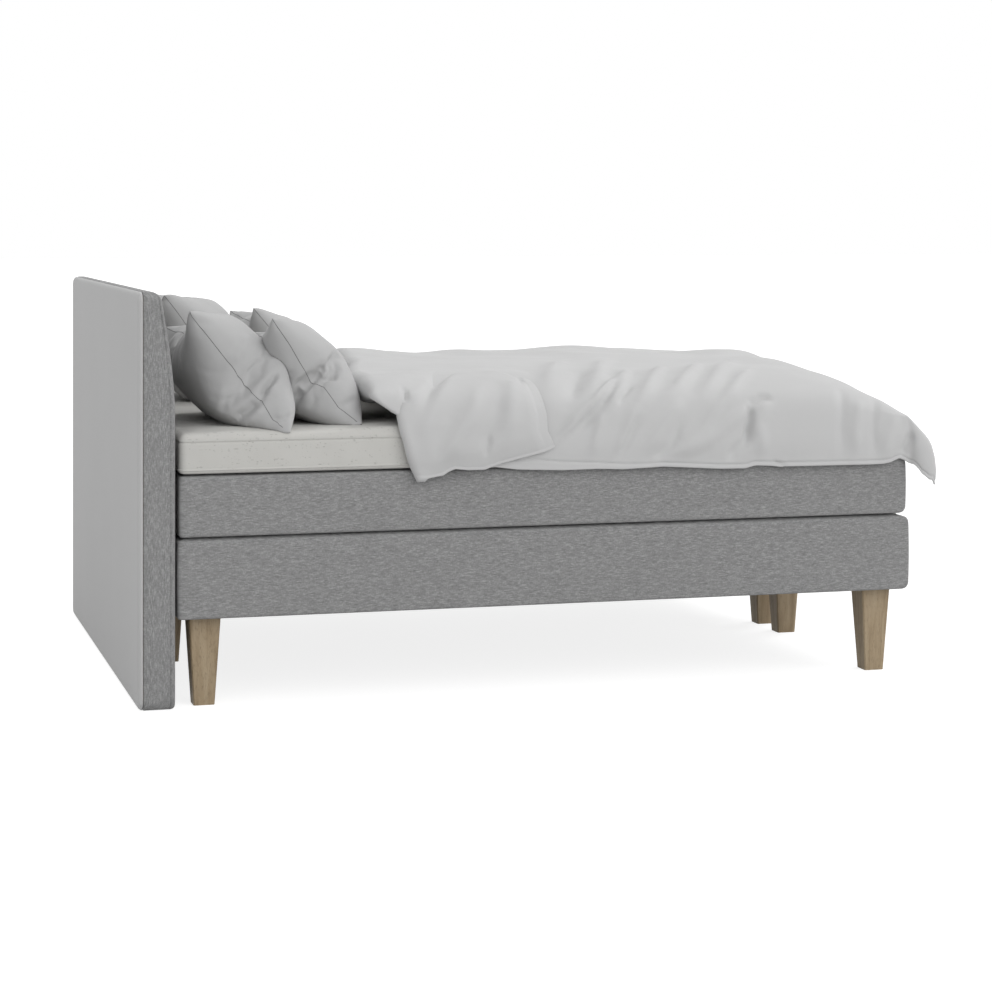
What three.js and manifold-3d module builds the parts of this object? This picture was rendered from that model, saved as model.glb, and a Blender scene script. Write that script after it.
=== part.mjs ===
// A box spring bed for two, in millimetres, +Z up, +X to the foot end.
// Two sprung bases stand side by side on tapered oak legs and carry two mattresses, one topper, pillows and a
// duvet. A padded headboard stands on the floor behind them and is bolted to both bases.
// Left is the -Y side, as seen from the foot end.
import * as THREE from 'three';
import { mergeVertices } from 'three/addons/utils/BufferGeometryUtils.js';
import Module from 'manifold-3d';

const wasm = await Module();
wasm.setup();

// Driving dimensions of the whole bed.
const fit = 0.3;                  // clearance between pieces that touch
const overrun = 60;               // how far a cutting block runs past what it cuts
const leastEdge = 0.05;           // shorter edges that a cut leaves are merged
const bedLength = 2000;
const boxWidth = 800;             // one base, half of the bed
const boxGap = 1;                 // between the two halves
const legHeight = 232;
const baseHeight = 201;
const mattressHeight = 158;
const topperHeight = 112;

// Upholstered covers of the bases and the mattresses.
const cover = {
  wall: 4,                        // fabric on a thin wadding
  hem: 3,                         // fabric turned in under the box
  hemWidth: 25,
  corner: 25,                     // upright corners
  edge: 9,                        // top and bottom edges
  cornerSteps: 4,
  edgeSteps: 3,
};

// Timber frame inside each base.
const frame = {
  railThickness: 22,
  railHeight: 88,
  legRailWidth: 96,               // flat plank that the legs are bolted to
  legRailThickness: 28,
  deckThickness: 6,
};

// Pocket springs glued side by side into one unit.
const spring = {
  pitch: 78,
  bulge: 14,                      // how far each pocket stands out of the unit's side
  sideGap: 6,
  pocketSteps: 3,
};

// Square oak legs, chamfered along their edges, each on a bolt.
const leg = {
  topWidth: 82,
  footWidth: 54,
  chamfer: 3,
  endInset: 75,                   // leg's middle from the end of the base
  sideInset: 82,                  // leg's middle from the side of the base
  boltRadius: 5,
  boltDepth: 45,                  // how deep the bolt goes into the leg
  boltSides: 10,
};

// Insets of the layers from the head end and the foot end of the bases.
const mattress = { headInset: 4, footInset: 9, foamThickness: 34 };

const topper = {
  headInset: 5,                   // from the head end of the bases
  footInset: 9,
  wall: 4,
  corner: 30,
  bottomEdge: 10,
  topEdge: 26,
  crown: 5,                       // rise of the middle over the rounded edge
  crownWidth: 70,
  edgeSteps: 4,
};

// Padded board, upright and then leaning back to its crest.
const headboard = {
  sideInset: 0.5,                 // from the bed's sides
  height: 1058,
  thickness: 94,
  gap: 6,                         // between its front and the bases
  crestThickness: 64,             // where the front has leaned back, near the top
  crestDrop: 46,
  leanStartDrop: 318,
  leanBendDrop: 218,
  footRadius: 10,
  cornerRadius: 28,
  backEdge: 16,
  seam: 13,                       // from the back to the seam on the sides
  wall: 4,
  frameDepth: 45,
  stileWidth: 90,
  railWidth: 110,
  curveSteps: 6,
  boltRadius: 5,
  boltHeadRadius: 14,
  boltHeadThickness: 6,
  boltHeight: 295,
  boltReach: 12,                  // past the head rail
  boltSides: 12,
};

// Steel plates that hold the two bases together.
const connector = {
  length: 64,
  width: 72,
  thickness: 3,
  corner: 8,
  holeRadius: 2.5,
  holeInset: 14,
};

// Pillows, stuffed: the seam plane's height and width, the swell to each side of it, and how far its edges
// are drawn in between the corners.
const pillow = {
  height: 394,
  width: 600,
  backUpperSwell: 116,
  frontUpperSwell: 97,
  underSwell: 126,
  sideDrawnIn: 26,
  endDrawnIn: 54,
  roundnessShare: 0.37,
  cells: 14,
};
// Where each pillow's seam plane has its middle: x from the head end and z from the mattresses' top in pillow
// heights, y from the middle of the bed in box widths. It leans back, turns about the upright and tips to its
// side by these degrees.
const pillowShares = [
  { name: 'left_back_pillow', x: 0.454, y: -0.55, z: 0.654, lean: 48.4, turn: 0, tip: 0 },
  { name: 'left_front_pillow', x: 0.961, y: -0.55, z: 0.635, lean: 48.5, turn: 0, tip: 0 },
  { name: 'right_back_pillow', x: 0.555, y: 0.45, z: 0.688, lean: 48.4, turn: 0, tip: 0 },
  { name: 'right_front_pillow', x: 1.24, y: 0.45, z: 0.573, lean: 48.5, turn: -2.5, tip: -2.3 },
];

// A quilt in a cotton cover, over the topper from below the pillows to the foot.
const duvet = {
  headLeft: 560,                  // its head edge at the bed's left side
  headRight: 640,
  rise: 130,                      // of its crown over the topper
  crownSag: 18,
  midShare: 0.5,
  shoulderWidth: 190,             // from the bed's side to where the crown starts to fall
  footShoulderWidth: 340,
  edgeWidth: 20,                  // from the bed's side or foot to where it has fallen to a share of its rise
  footEdgeWidth: 60,
  edgeShare: 0.42,
  bellyShare: 0.4,
  drop: 132,                      // of its hem under the topper's top
  standOff: 20,                   // outer face of the hem from the bed's side
  footStandOff: 46,
  flare: 30,                      // how far a foot corner kicks out
  hemThickness: 14,
  sideClearance: 2,
  noseRadius: 90,                 // of its rounded head edge
  foldHeight: 9,
  foldPitch: 330,
  cellsAlong: 26,
  cellsAcross: 28,
};

// The duvet's left head corner, turned back over it. Reaches are from the head end of the bed.
const turnback = {
  foldReach: 570,                 // of its fold on top, and at the hem
  foldHemReach: 602,
  edgeReach: 930,                 // of its free edge on top
  cornerReach: 987,               // and at the duvet's corner, which has come up from the hem
  cornerRise: 75,
  startShare: 0.46,
  edgeThickness: 16,
  swell: 30,
  sink: 12,                       // into the duvet below
  stepShare: 0.02,
  cells: 9,
};

// Levels and places that follow from the sizes.
const bedWidth = 2 * boxWidth + boxGap;
const baseBottom = legHeight + fit;
const baseTop = baseBottom + baseHeight;
const mattressBottom = baseTop + fit;
const mattressTop = mattressBottom + mattressHeight;
const topperBottom = mattressTop + fit;
const topperTop = topperBottom + topperHeight;
const headboardWidth = bedWidth - 2 * headboard.sideInset;
const sides = [{ name: 'left', sign: -1 }, { name: 'right', sign: 1 }];
const ends = [{ name: 'head', sign: -1 }, { name: 'foot', sign: 1 }];
const quarters = [[-1, -1], [1, -1], [1, 1], [-1, 1]];

const looks = {
  boxFabric: { color: 0x8a8a8a, roughness: 0.9 },
  backFabric: { color: 0xa8a8a8, roughness: 0.9 },
  topperFabric: { color: 0xc4c3c0, roughness: 0.85 },
  bedding: { color: 0xd8d8d8, roughness: 0.85 },
  oak: { color: 0xa89878, roughness: 0.6 },
  pine: { color: 0xd9bd8b, roughness: 0.7 },
  hardboard: { color: 0x7a5a3c, roughness: 0.8 },
  pockets: { color: 0xe6e6e2, roughness: 0.9 },
  foam: { color: 0xefe7c8, roughness: 0.95 },
  dustCloth: { color: 0x232323, roughness: 0.95 },
  steel: { color: 0xb8babd, roughness: 0.35, metalness: 1 },
};

function piece(name, geometry, look) {
  const mesh = new THREE.Mesh(geometry, new THREE.MeshStandardMaterial(look));
  mesh.name = name;
  return mesh;
}

// Booleans on closed meshes.
function solid(geometry) {
  const bare = geometry.clone();
  bare.deleteAttribute('normal');
  bare.deleteAttribute('uv');
  const merged = mergeVertices(bare);
  return new wasm.Manifold(new wasm.Mesh({
    numProp: 3,
    vertProperties: new Float32Array(merged.attributes.position.array),
    triVerts: new Uint32Array(merged.index.array),
  }));
}

function surface(body) {
  const mesh = body.simplify(leastEdge).getMesh();
  const geometry = new THREE.BufferGeometry();
  geometry.setAttribute('position', new THREE.BufferAttribute(new Float32Array(mesh.vertProperties), 3));
  geometry.setIndex(new THREE.BufferAttribute(new Uint32Array(mesh.triVerts), 1));
  geometry.computeVertexNormals();
  return geometry;
}

// A block between two corners.
function block(low, high) {
  const geometry = new THREE.BoxGeometry(high[0] - low[0], high[1] - low[1], high[2] - low[2]);
  geometry.translate((low[0] + high[0]) / 2, (low[1] + high[1]) / 2, (low[2] + high[2]) / 2);
  return geometry;
}

// An upright pin or hole.
function uprightPin(x, y, low, high, radius, pinSides) {
  const geometry = new THREE.CylinderGeometry(radius, radius, high - low, pinSides);
  geometry.rotateX(Math.PI / 2);
  geometry.translate(x, y, (low + high) / 2);
  return geometry;
}

// A pin or hole along X.
function levelPin(low, high, y, z, radius, pinSides) {
  const geometry = new THREE.CylinderGeometry(radius, radius, high - low, pinSides);
  geometry.rotateZ(Math.PI / 2);
  geometry.translate((low + high) / 2, y, z);
  return geometry;
}

// A closed solid from a stack of rings of equal length, fanned over at both ends.
function ringSolid(rings) {
  const count = rings[0].length;
  const positions = [];
  const index = [];
  rings.flat().forEach((p) => positions.push(p.x, p.y, p.z));
  for (let k = 0; k + 1 < rings.length; k++) {
    for (let i = 0; i < count; i++) {
      const a = k * count + i;
      const b = k * count + (i + 1) % count;
      index.push(a, b, b + count, a, b + count, a + count);
    }
  }
  [[0, 1], [rings.length - 1, 0]].forEach(([k, reversed]) => {
    const middle = new THREE.Vector3();
    rings[k].forEach((p) => middle.addScaledVector(p, 1 / count));
    const hub = positions.length / 3;
    positions.push(middle.x, middle.y, middle.z);
    for (let i = 0; i < count; i++) {
      const a = k * count + i;
      const b = k * count + (i + 1) % count;
      index.push(hub, reversed ? b : a, reversed ? a : b);
    }
  });
  const geometry = new THREE.BufferGeometry();
  geometry.setAttribute('position', new THREE.Float32BufferAttribute(positions, 3));
  geometry.setIndex(index);
  geometry.computeVertexNormals();
  return geometry;
}

// One ring of a rounded rectangle seen from above, drawn in from the outline by inset.
function planRing(plan, inset, z) {
  const radius = Math.max(plan.corner - inset, fit);
  const halfLength = plan.length / 2 - inset - radius;
  const halfWidth = plan.width / 2 - inset - radius;
  const ring = [];
  for (let quarter = 0; quarter < 4; quarter++) {
    const toX = quarter === 0 || quarter === 3 ? 1 : -1;
    const toY = quarter < 2 ? 1 : -1;
    for (let step = 0; step <= cover.cornerSteps; step++) {
      const angle = (quarter + step / cover.cornerSteps) * Math.PI / 2;
      const x = plan.x + toX * halfLength + radius * Math.cos(angle);
      const y = plan.y + toY * halfWidth + radius * Math.sin(angle);
      ring.push(new THREE.Vector3(x, y, z));
    }
  }
  return ring;
}

// Points of a quarter-round edge, as insets and levels, from below or from the side.
function bottomEdge(radius, bottom, steps) {
  return Array.from({ length: steps + 1 }, (_, i) => {
    const angle = (i / steps) * Math.PI / 2;
    return [radius * (1 - Math.sin(angle)), bottom + radius * (1 - Math.cos(angle))];
  });
}

function topEdge(radius, top, steps) {
  return Array.from({ length: steps + 1 }, (_, i) => {
    const angle = (i / steps) * Math.PI / 2;
    return [radius * (1 - Math.cos(angle)), top - radius * (1 - Math.sin(angle))];
  });
}

// A sewn cover: open underneath, with its hem turned in.
function boxCover(plan, bottom, top) {
  const profile = [
    [cover.wall, top - cover.wall],
    [cover.wall, bottom + cover.hem],
    [cover.hemWidth, bottom + cover.hem],
    [cover.hemWidth, bottom],
    ...bottomEdge(cover.edge, bottom, cover.edgeSteps),
    ...topEdge(cover.edge, top, cover.edgeSteps),
  ];
  return ringSolid(profile.map(([inset, z]) => planRing(plan, inset, z)));
}

// The room inside a cover, less the clearance.
function room(plan, bottom, top) {
  const inset = cover.wall + fit;
  return ringSolid([planRing(plan, inset, bottom), planRing(plan, inset, top)]);
}

// Pocket springs glued into one unit: a row of pockets shows as scallops along each side.
function pocketSprings(plan, bottom, top) {
  const inset = cover.wall + fit + spring.sideGap + spring.bulge;
  const halfLength = plan.length / 2 - inset;
  const halfWidth = plan.width / 2 - inset;
  const corners = quarters.map(([a, b]) => new THREE.Vector2(a * halfLength, b * halfWidth));
  const outline = [];
  corners.forEach((from, k) => {
    const to = corners[(k + 1) % corners.length];
    const along = to.clone().sub(from);
    const out = new THREE.Vector2(along.y, -along.x).normalize();
    const pockets = Math.max(1, Math.round(along.length() / spring.pitch));
    for (let i = 0; i < pockets * spring.pocketSteps; i++) {
      const stand = spring.bulge * Math.abs(Math.sin((i / spring.pocketSteps) * Math.PI));
      const share = i / (pockets * spring.pocketSteps);
      outline.push(from.clone().addScaledVector(along, share).addScaledVector(out, stand));
    }
  });
  const options = { depth: top - bottom, bevelEnabled: false };
  const geometry = new THREE.ExtrudeGeometry(new THREE.Shape(outline), options);
  geometry.translate(plan.x, plan.y, bottom);
  return geometry;
}

// The outline of a layer seen from above, between its insets from the bases' ends.
const layerPlan = (headInset, footInset, y, width, corner) => ({
  x: (bedLength + headInset - footInset) / 2,
  y,
  length: bedLength - headInset - footInset,
  width,
  corner,
});
const halfY = (side) => side.sign * (boxWidth + boxGap) / 2;
const basePlan = (side) => layerPlan(0, 0, halfY(side), boxWidth, cover.corner);
const mattressPlan = (side) => (
  layerPlan(mattress.headInset, mattress.footInset, halfY(side), boxWidth, cover.corner)
);
const topperPlan = layerPlan(topper.headInset, topper.footInset, 0, bedWidth, topper.corner);

// Places of one base's legs, and the holes for the bolts in the legs and in the headboard.
const legPlaces = (side) => ends.flatMap((end) => [1, -1].map((out) => ({
  name: `${side.name}_${end.name}_${out > 0 ? 'outer' : 'inner'}`,
  x: bedLength / 2 + end.sign * (bedLength / 2 - leg.endInset),
  y: halfY(side) + side.sign * out * (boxWidth / 2 - leg.sideInset),
})));
const legRailBottom = baseBottom + cover.hem + fit;
const legRailTop = legRailBottom + frame.legRailThickness;
const railTop = legRailBottom + frame.railHeight;
const legBore = (place, low, high) => solid(
  uprightPin(place.x, place.y, low, high, leg.boltRadius + fit, leg.boltSides));
const headboardBack = -headboard.gap - headboard.thickness;
const boltBore = (side, low, high) => solid(
  levelPin(low, high, halfY(side), headboard.boltHeight, headboard.boltRadius + fit, headboard.boltSides));

// A base: a timber frame with a deck and a spring unit on it, in a cover with a cloth tacked on below.
function base(side) {
  const group = new THREE.Group();
  const plan = basePlan(side);
  const name = (what) => `${side.name}_base_${what}`;
  const inner = solid(room(plan, legRailBottom, baseTop - cover.wall - fit));
  const inRoom = (low, high) => solid(block(low, high)).intersect(inner);
  const endX = (end) => plan.x + end.sign * plan.length / 2;
  const wallX = (end, depth) => endX(end) - end.sign * (cover.wall + fit + depth);
  const wallY = (sign, depth) => plan.y + sign * (plan.width / 2 - cover.wall - fit - depth);
  const span = (a, b) => [Math.min(a, b), Math.max(a, b)];
  const between = wallY(1, frame.railThickness + fit);
  const across = wallY(-1, frame.railThickness + fit);

  [['outer', side.sign], ['inner', -side.sign]].forEach(([where, sign]) => {
    const [y0, y1] = span(wallY(sign, frame.railThickness), wallY(sign, -overrun));
    const rail = inRoom([-overrun, y0, legRailBottom], [bedLength + overrun, y1, railTop]);
    group.add(piece(name(`${where}_rail`), surface(rail), looks.pine));
  });

  ends.forEach((end) => {
    const [x0, x1] = span(wallX(end, frame.railThickness), wallX(end, -overrun));
    let rail = inRoom([x0, across, legRailBottom], [x1, between, railTop]);
    if (end.name === 'head') rail = rail.subtract(boltBore(side, x0 - overrun, x1 + overrun));
    group.add(piece(name(`${end.name}_rail`), surface(rail), looks.pine));

    const middle = endX(end) - end.sign * leg.endInset;
    const low = [middle - frame.legRailWidth / 2, across, legRailBottom];
    const high = [middle + frame.legRailWidth / 2, between, legRailTop];
    let plank = inRoom(low, high);
    legPlaces(side).filter((place) => place.x === middle).forEach((place) => {
      plank = plank.subtract(legBore(place, legRailBottom - overrun, legRailTop + overrun));
    });
    group.add(piece(name(`${end.name}_leg_rail`), surface(plank), looks.pine));
  });

  const halfRail = frame.railThickness / 2;
  const centre = inRoom([plan.x - halfRail, across, legRailBottom], [plan.x + halfRail, between, railTop]);
  group.add(piece(name('centre_rail'), surface(centre), looks.pine));

  const deckBottom = railTop + fit;
  const deckTop = deckBottom + frame.deckThickness;
  const deckLow = [-overrun, wallY(-1, -overrun), deckBottom];
  const deckHigh = [bedLength + overrun, wallY(1, -overrun), deckTop];
  const deck = inRoom(deckLow, deckHigh);
  group.add(piece(name('deck'), surface(deck), looks.hardboard));

  const springs = pocketSprings(plan, deckTop + fit, baseTop - cover.wall - fit);
  group.add(piece(name('springs'), springs, looks.pockets));

  const skin = solid(boxCover(plan, baseBottom, baseTop)).subtract(boltBore(side, -overrun, overrun / 2));
  group.add(piece(name('cover'), surface(skin), looks.boxFabric));

  const clothInset = cover.hemWidth + fit;
  let cloth = solid(ringSolid([
    planRing(plan, clothInset, baseBottom),
    planRing(plan, clothInset, baseBottom + cover.hem),
  ]));
  legPlaces(side).forEach((place) => {
    cloth = cloth.subtract(legBore(place, baseBottom - overrun, legRailBottom));
  });
  group.add(piece(name('bottom_cloth'), surface(cloth), looks.dustCloth));
  return group;
}

// A square leg's section, chamfered at its corners.
function legRing(width, z) {
  const half = width / 2;
  const cut = half - leg.chamfer;
  const corners = [[half, -cut], [half, cut], [cut, half], [-cut, half]];
  const turned = corners.map(([x, y]) => [-x, -y]);
  return [...corners, ...turned].map(([x, y]) => new THREE.Vector3(x, y, z));
}

// Four legs that taper to their feet, each with the bolt that runs from it into the plank above.
function legs(side) {
  const group = new THREE.Group();
  legPlaces(side).forEach((place) => {
    const boltBottom = legHeight - leg.boltDepth;
    const shaft = ringSolid([legRing(leg.footWidth, 0), legRing(leg.topWidth, legHeight)]);
    shaft.translate(place.x, place.y, 0);
    const bored = solid(shaft).subtract(legBore(place, boltBottom - fit, legHeight + overrun));
    group.add(piece(`${place.name}_leg`, surface(bored), looks.oak));
    const bolt = uprightPin(place.x, place.y, boltBottom, legRailTop, leg.boltRadius, leg.boltSides);
    group.add(piece(`${place.name}_leg_bolt`, bolt, looks.steel));
  });
  return group;
}

// A mattress: pocket springs under a sheet of foam, in a sewn cover.
function mattressUnit(side) {
  const group = new THREE.Group();
  const plan = mattressPlan(side);
  const bottom = mattressBottom + cover.hem + fit;
  const foamTop = mattressTop - cover.wall - fit;
  const foamBottom = foamTop - mattress.foamThickness;
  const name = (what) => `${side.name}_mattress_${what}`;
  const springs = pocketSprings(plan, bottom, foamBottom - fit);
  group.add(piece(name('springs'), springs, looks.pockets));
  group.add(piece(name('foam'), room(plan, foamBottom, foamTop), looks.foam));
  group.add(piece(name('cover'), boxCover(plan, mattressBottom, mattressTop), looks.boxFabric));
  return group;
}

// The topper: one slab of foam over both mattresses, in a cover with a rounded, slightly crowned top.
function topperProfile(inset) {
  const shoulder = topperTop - topper.crown - inset;
  const low = bottomEdge(topper.bottomEdge - inset, topperBottom + inset, topper.edgeSteps);
  const high = topEdge(topper.topEdge - inset, shoulder, topper.edgeSteps);
  const rise = [[topper.crownWidth, topperTop - inset]];
  return [...low.map(([a, z]) => [a + inset, z]), ...high.map(([a, z]) => [a + inset, z]), ...rise];
}

function topperUnit() {
  const group = new THREE.Group();
  const inset = topper.wall + fit;
  const core = topperProfile(inset).map(([a, z]) => planRing(topperPlan, a, z));
  group.add(piece('topper_core', ringSolid(core), looks.foam));
  const inside = topperProfile(topper.wall).reverse();
  const hem = [[cover.hemWidth, topperBottom + topper.wall], [cover.hemWidth, topperBottom]];
  const skin = [...inside, ...hem, ...topperProfile(0)].map(([a, z]) => planRing(topperPlan, a, z));
  group.add(piece('topper_cover', ringSolid(skin), looks.topperFabric));
  return group;
}

// The headboard's section, from its back to its front: upright, then leaning back to a rounded crest.
function headboardSection(inset) {
  const h = headboard;
  const front = h.thickness - inset;
  const crest = h.crestThickness - inset;
  const radius = h.footRadius;
  const shape = new THREE.Shape();
  shape.moveTo(inset, inset);
  shape.lineTo(front - radius, inset);
  shape.quadraticCurveTo(front, inset, front, inset + radius);
  shape.lineTo(front, h.height - h.leanStartDrop);
  shape.quadraticCurveTo(front, h.height - h.leanBendDrop, crest, h.height - h.crestDrop);
  shape.quadraticCurveTo(crest, h.height - inset, h.seam + h.backEdge, h.height - inset);
  shape.lineTo(inset, h.height - inset);
  return shape;
}

// The padded board's form, drawn in by inset: its section run across the bed, cut to a rounded outline.
function headboardForm(inset) {
  const h = headboard;
  const width = headboardWidth - 2 * inset;
  const run = new THREE.ExtrudeGeometry(headboardSection(inset), {
    depth: width,
    bevelEnabled: false,
    curveSegments: h.curveSteps,
  });
  run.rotateX(Math.PI / 2);
  run.translate(headboardBack, width / 2, 0);

  const radius = h.cornerRadius - inset;
  const half = width / 2;
  const outline = new THREE.Shape();
  outline.moveTo(-half + radius, inset);
  outline.absarc(half - radius, inset + radius, radius, -Math.PI / 2, 0, false);
  outline.absarc(half - radius, h.height - inset - radius, radius, 0, Math.PI / 2, false);
  outline.absarc(-half + radius, h.height - inset - radius, radius, Math.PI / 2, Math.PI, false);
  outline.absarc(-half + radius, inset + radius, radius, Math.PI, 1.5 * Math.PI, false);
  const plate = new THREE.ExtrudeGeometry(outline, {
    depth: h.thickness,
    bevelEnabled: true,
    bevelThickness: h.backEdge,
    bevelSize: h.backEdge,
    bevelOffset: -h.backEdge,
    bevelSegments: cover.edgeSteps,
    curveSegments: cover.cornerSteps,
  });
  const axes = new THREE.Matrix4().makeBasis(
    new THREE.Vector3(0, 1, 0), new THREE.Vector3(0, 0, 1), new THREE.Vector3(1, 0, 0));
  plate.applyMatrix4(axes);
  plate.translate(headboardBack + inset + h.backEdge, 0, 0);
  return solid(run).intersect(solid(plate));
}

// The part of a body between two planes across the bed's length.
function slab(body, from, to) {
  const low = [from, -bedWidth, -overrun];
  const high = [to, bedWidth, headboard.height + overrun];
  return body.intersect(solid(block(low, high)));
}

function headboardUnit() {
  const h = headboard;
  const group = new THREE.Group();
  const outer = headboardForm(0);
  const hollow = headboardForm(h.wall);
  const inner = headboardForm(h.wall + fit);
  const seamX = headboardBack + h.seam;
  const frameFront = headboardBack + h.frameDepth;
  const shell = outer.subtract(hollow);
  const bores = sides.map((side) => boltBore(side, headboardBack + h.wall, overrun));

  const back = slab(shell, headboardBack - overrun, seamX);
  group.add(piece('headboard_back_cloth', surface(back), looks.backFabric));
  let skin = slab(shell, seamX + fit, overrun);
  let pad = slab(inner, frameFront + fit, overrun);
  let board = slab(inner, headboardBack - overrun, frameFront);

  // Windows between five stiles leave a ladder frame; two of the stiles take the bolts.
  const outerStile = (headboardWidth - h.stileWidth) / 2;
  const boltY = sides.map(halfY);
  const stiles = [-outerStile, boltY[0], 0, boltY[1], outerStile];
  stiles.slice(1).forEach((y, i) => {
    const low = [headboardBack - overrun, stiles[i] + h.stileWidth / 2, h.railWidth];
    const high = [overrun, y - h.stileWidth / 2, h.height - h.railWidth];
    board = board.subtract(solid(block(low, high)));
  });
  const headBack = headboardBack + h.wall + fit;
  const neck = headBack + h.boltHeadThickness;
  sides.forEach((side, i) => {
    const recessRadius = h.boltHeadRadius + fit;
    const recess = levelPin(headBack - overrun, neck + fit, boltY[i], h.boltHeight, recessRadius, h.boltSides);
    board = board.subtract(bores[i]).subtract(solid(recess));
    skin = skin.subtract(bores[i]);
    pad = pad.subtract(bores[i]);
  });
  group.add(piece('headboard_frame', surface(board), looks.pine));
  group.add(piece('headboard_foam', surface(pad), looks.foam));
  group.add(piece('headboard_cover', surface(skin), looks.boxFabric));

  const tip = cover.wall + fit + frame.railThickness + h.boltReach;
  sides.forEach((side, i) => {
    const head = levelPin(headBack, neck, boltY[i], h.boltHeight, h.boltHeadRadius, h.boltSides);
    const shank = levelPin(headBack, tip, boltY[i], h.boltHeight, h.boltRadius, h.boltSides);
    group.add(piece(`${side.name}_headboard_bolt`, surface(solid(head).add(solid(shank))), looks.steel));
  });
  return group;
}

// A steel plate screwed up under both bases between their inner legs, so that the halves stay together.
function connectorPlate(end) {
  const c = connector;
  const x = bedLength / 2 + end.sign * (bedLength / 2 - leg.endInset);
  const a = c.length / 2;
  const b = c.width / 2;
  const shape = new THREE.Shape();
  shape.moveTo(-a + c.corner, -b);
  shape.absarc(a - c.corner, -b + c.corner, c.corner, -Math.PI / 2, 0, false);
  shape.absarc(a - c.corner, b - c.corner, c.corner, 0, Math.PI / 2, false);
  shape.absarc(-a + c.corner, b - c.corner, c.corner, Math.PI / 2, Math.PI, false);
  shape.absarc(-a + c.corner, -b + c.corner, c.corner, Math.PI, 1.5 * Math.PI, false);
  quarters.forEach(([u, v]) => {
    const hole = new THREE.Path();
    hole.absarc(u * (a - c.holeInset), v * (b - c.holeInset), c.holeRadius, 0, 2 * Math.PI, true);
    shape.holes.push(hole);
  });
  const options = { depth: c.thickness, bevelEnabled: false, curveSegments: cover.cornerSteps };
  const geometry = new THREE.ExtrudeGeometry(shape, options);
  geometry.translate(x, 0, legHeight - c.thickness);
  return piece(`${end.name}_connector`, geometry, looks.steel);
}

// A stuffed pillow: two crowned faces that meet in a seam, drawn in between its corners.
// It is made flat, with its width along x and its height along y, then leaned on its lower edge.
function pillowForm(place, upperSwell, grow) {
  const n = pillow.cells;
  const at = (i) => Math.sin((i / n - 0.5) * Math.PI);
  const point = (i, j, face) => {
    const a = at(i);
    const b = at(j);
    const swell = Math.pow((1 - a * a) * (1 - b * b), pillow.roundnessShare);
    const half = face > 0 ? upperSwell : pillow.underSwell;
    const onSeam = i === 0 || j === 0 || i === n || j === n;
    return new THREE.Vector3(
      (pillow.width / 2 + grow - pillow.sideDrawnIn * (1 - b * b)) * a,
      (pillow.height / 2 + grow - pillow.endDrawnIn * (1 - a * a)) * b,
      onSeam ? 0 : face * (half + grow) * swell,
    );
  };
  const positions = [];
  [1, -1].forEach((face) => {
    for (let i = 0; i < n; i++) {
      for (let j = 0; j < n; j++) {
        const [p, q] = [point(i, j, face), point(i + 1, j, face)];
        const [r, s] = [point(i + 1, j + 1, face), point(i, j + 1, face)];
        const turned = (i < n / 2) === (j < n / 2);
        const cut = turned ? [p, q, r, p, r, s] : [p, q, s, q, r, s];
        (face > 0 ? cut : cut.reverse()).forEach((v) => positions.push(v.x, v.y, v.z));
      }
    }
  });
  const geometry = new THREE.BufferGeometry();
  geometry.setAttribute('position', new THREE.Float32BufferAttribute(positions, 3));
  const lean = THREE.MathUtils.degToRad(place.lean);
  const axes = new THREE.Matrix4().makeBasis(
    new THREE.Vector3(0, 1, 0),
    new THREE.Vector3(-Math.cos(lean), 0, Math.sin(lean)),
    new THREE.Vector3(Math.sin(lean), 0, Math.cos(lean)),
  );
  geometry.applyMatrix4(axes);
  geometry.rotateX(THREE.MathUtils.degToRad(place.tip));
  geometry.rotateZ(THREE.MathUtils.degToRad(place.turn));
  geometry.translate(place.x * pillow.height, place.y * boxWidth, mattressTop + place.z * pillow.height);
  return solid(geometry);
}

function pillows() {
  const group = new THREE.Group();
  const board = headboardForm(-fit);
  const bedTop = block([-bedLength, -bedWidth, 0], [bedLength, bedWidth, topperTop + fit]);
  let behind = null;
  pillowShares.forEach((place, i) => {
    const front = i % 2 === 1;
    const upperSwell = front ? pillow.frontUpperSwell : pillow.backUpperSwell;
    const body = pillowForm(place, upperSwell, 0).subtract(solid(bedTop)).subtract(front ? behind : board);
    behind = pillowForm(place, upperSwell, fit);
    group.add(piece(place.name, surface(body), looks.bedding));
  });
  return group;
}

// The duvet over the topper: crowned on top, hanging down both sides and the foot end.
// A strand's curve runs from the bed's middle out over its edge and down to the hem.
function strandCurve(half, shoulderWidth, edgeWidth, standOff) {
  const d = duvet;
  const places = [
    [0, d.rise],
    [d.midShare * half, d.rise - d.crownSag / 2],
    [half - shoulderWidth, d.rise - d.crownSag],
    [half - edgeWidth, d.edgeShare * d.rise],
    [half + standOff, -d.bellyShare * d.drop],
    [half + standOff, -d.drop],
  ];
  const points = places.map(([out, z]) => new THREE.Vector3(out, 0, z));
  return new THREE.CatmullRomCurve3(points, false, 'centripetal');
}

const headEdge = (y) => (
  THREE.MathUtils.mapLinear(y, -bedWidth / 2, bedWidth / 2, duvet.headLeft, duvet.headRight)
);

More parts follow.
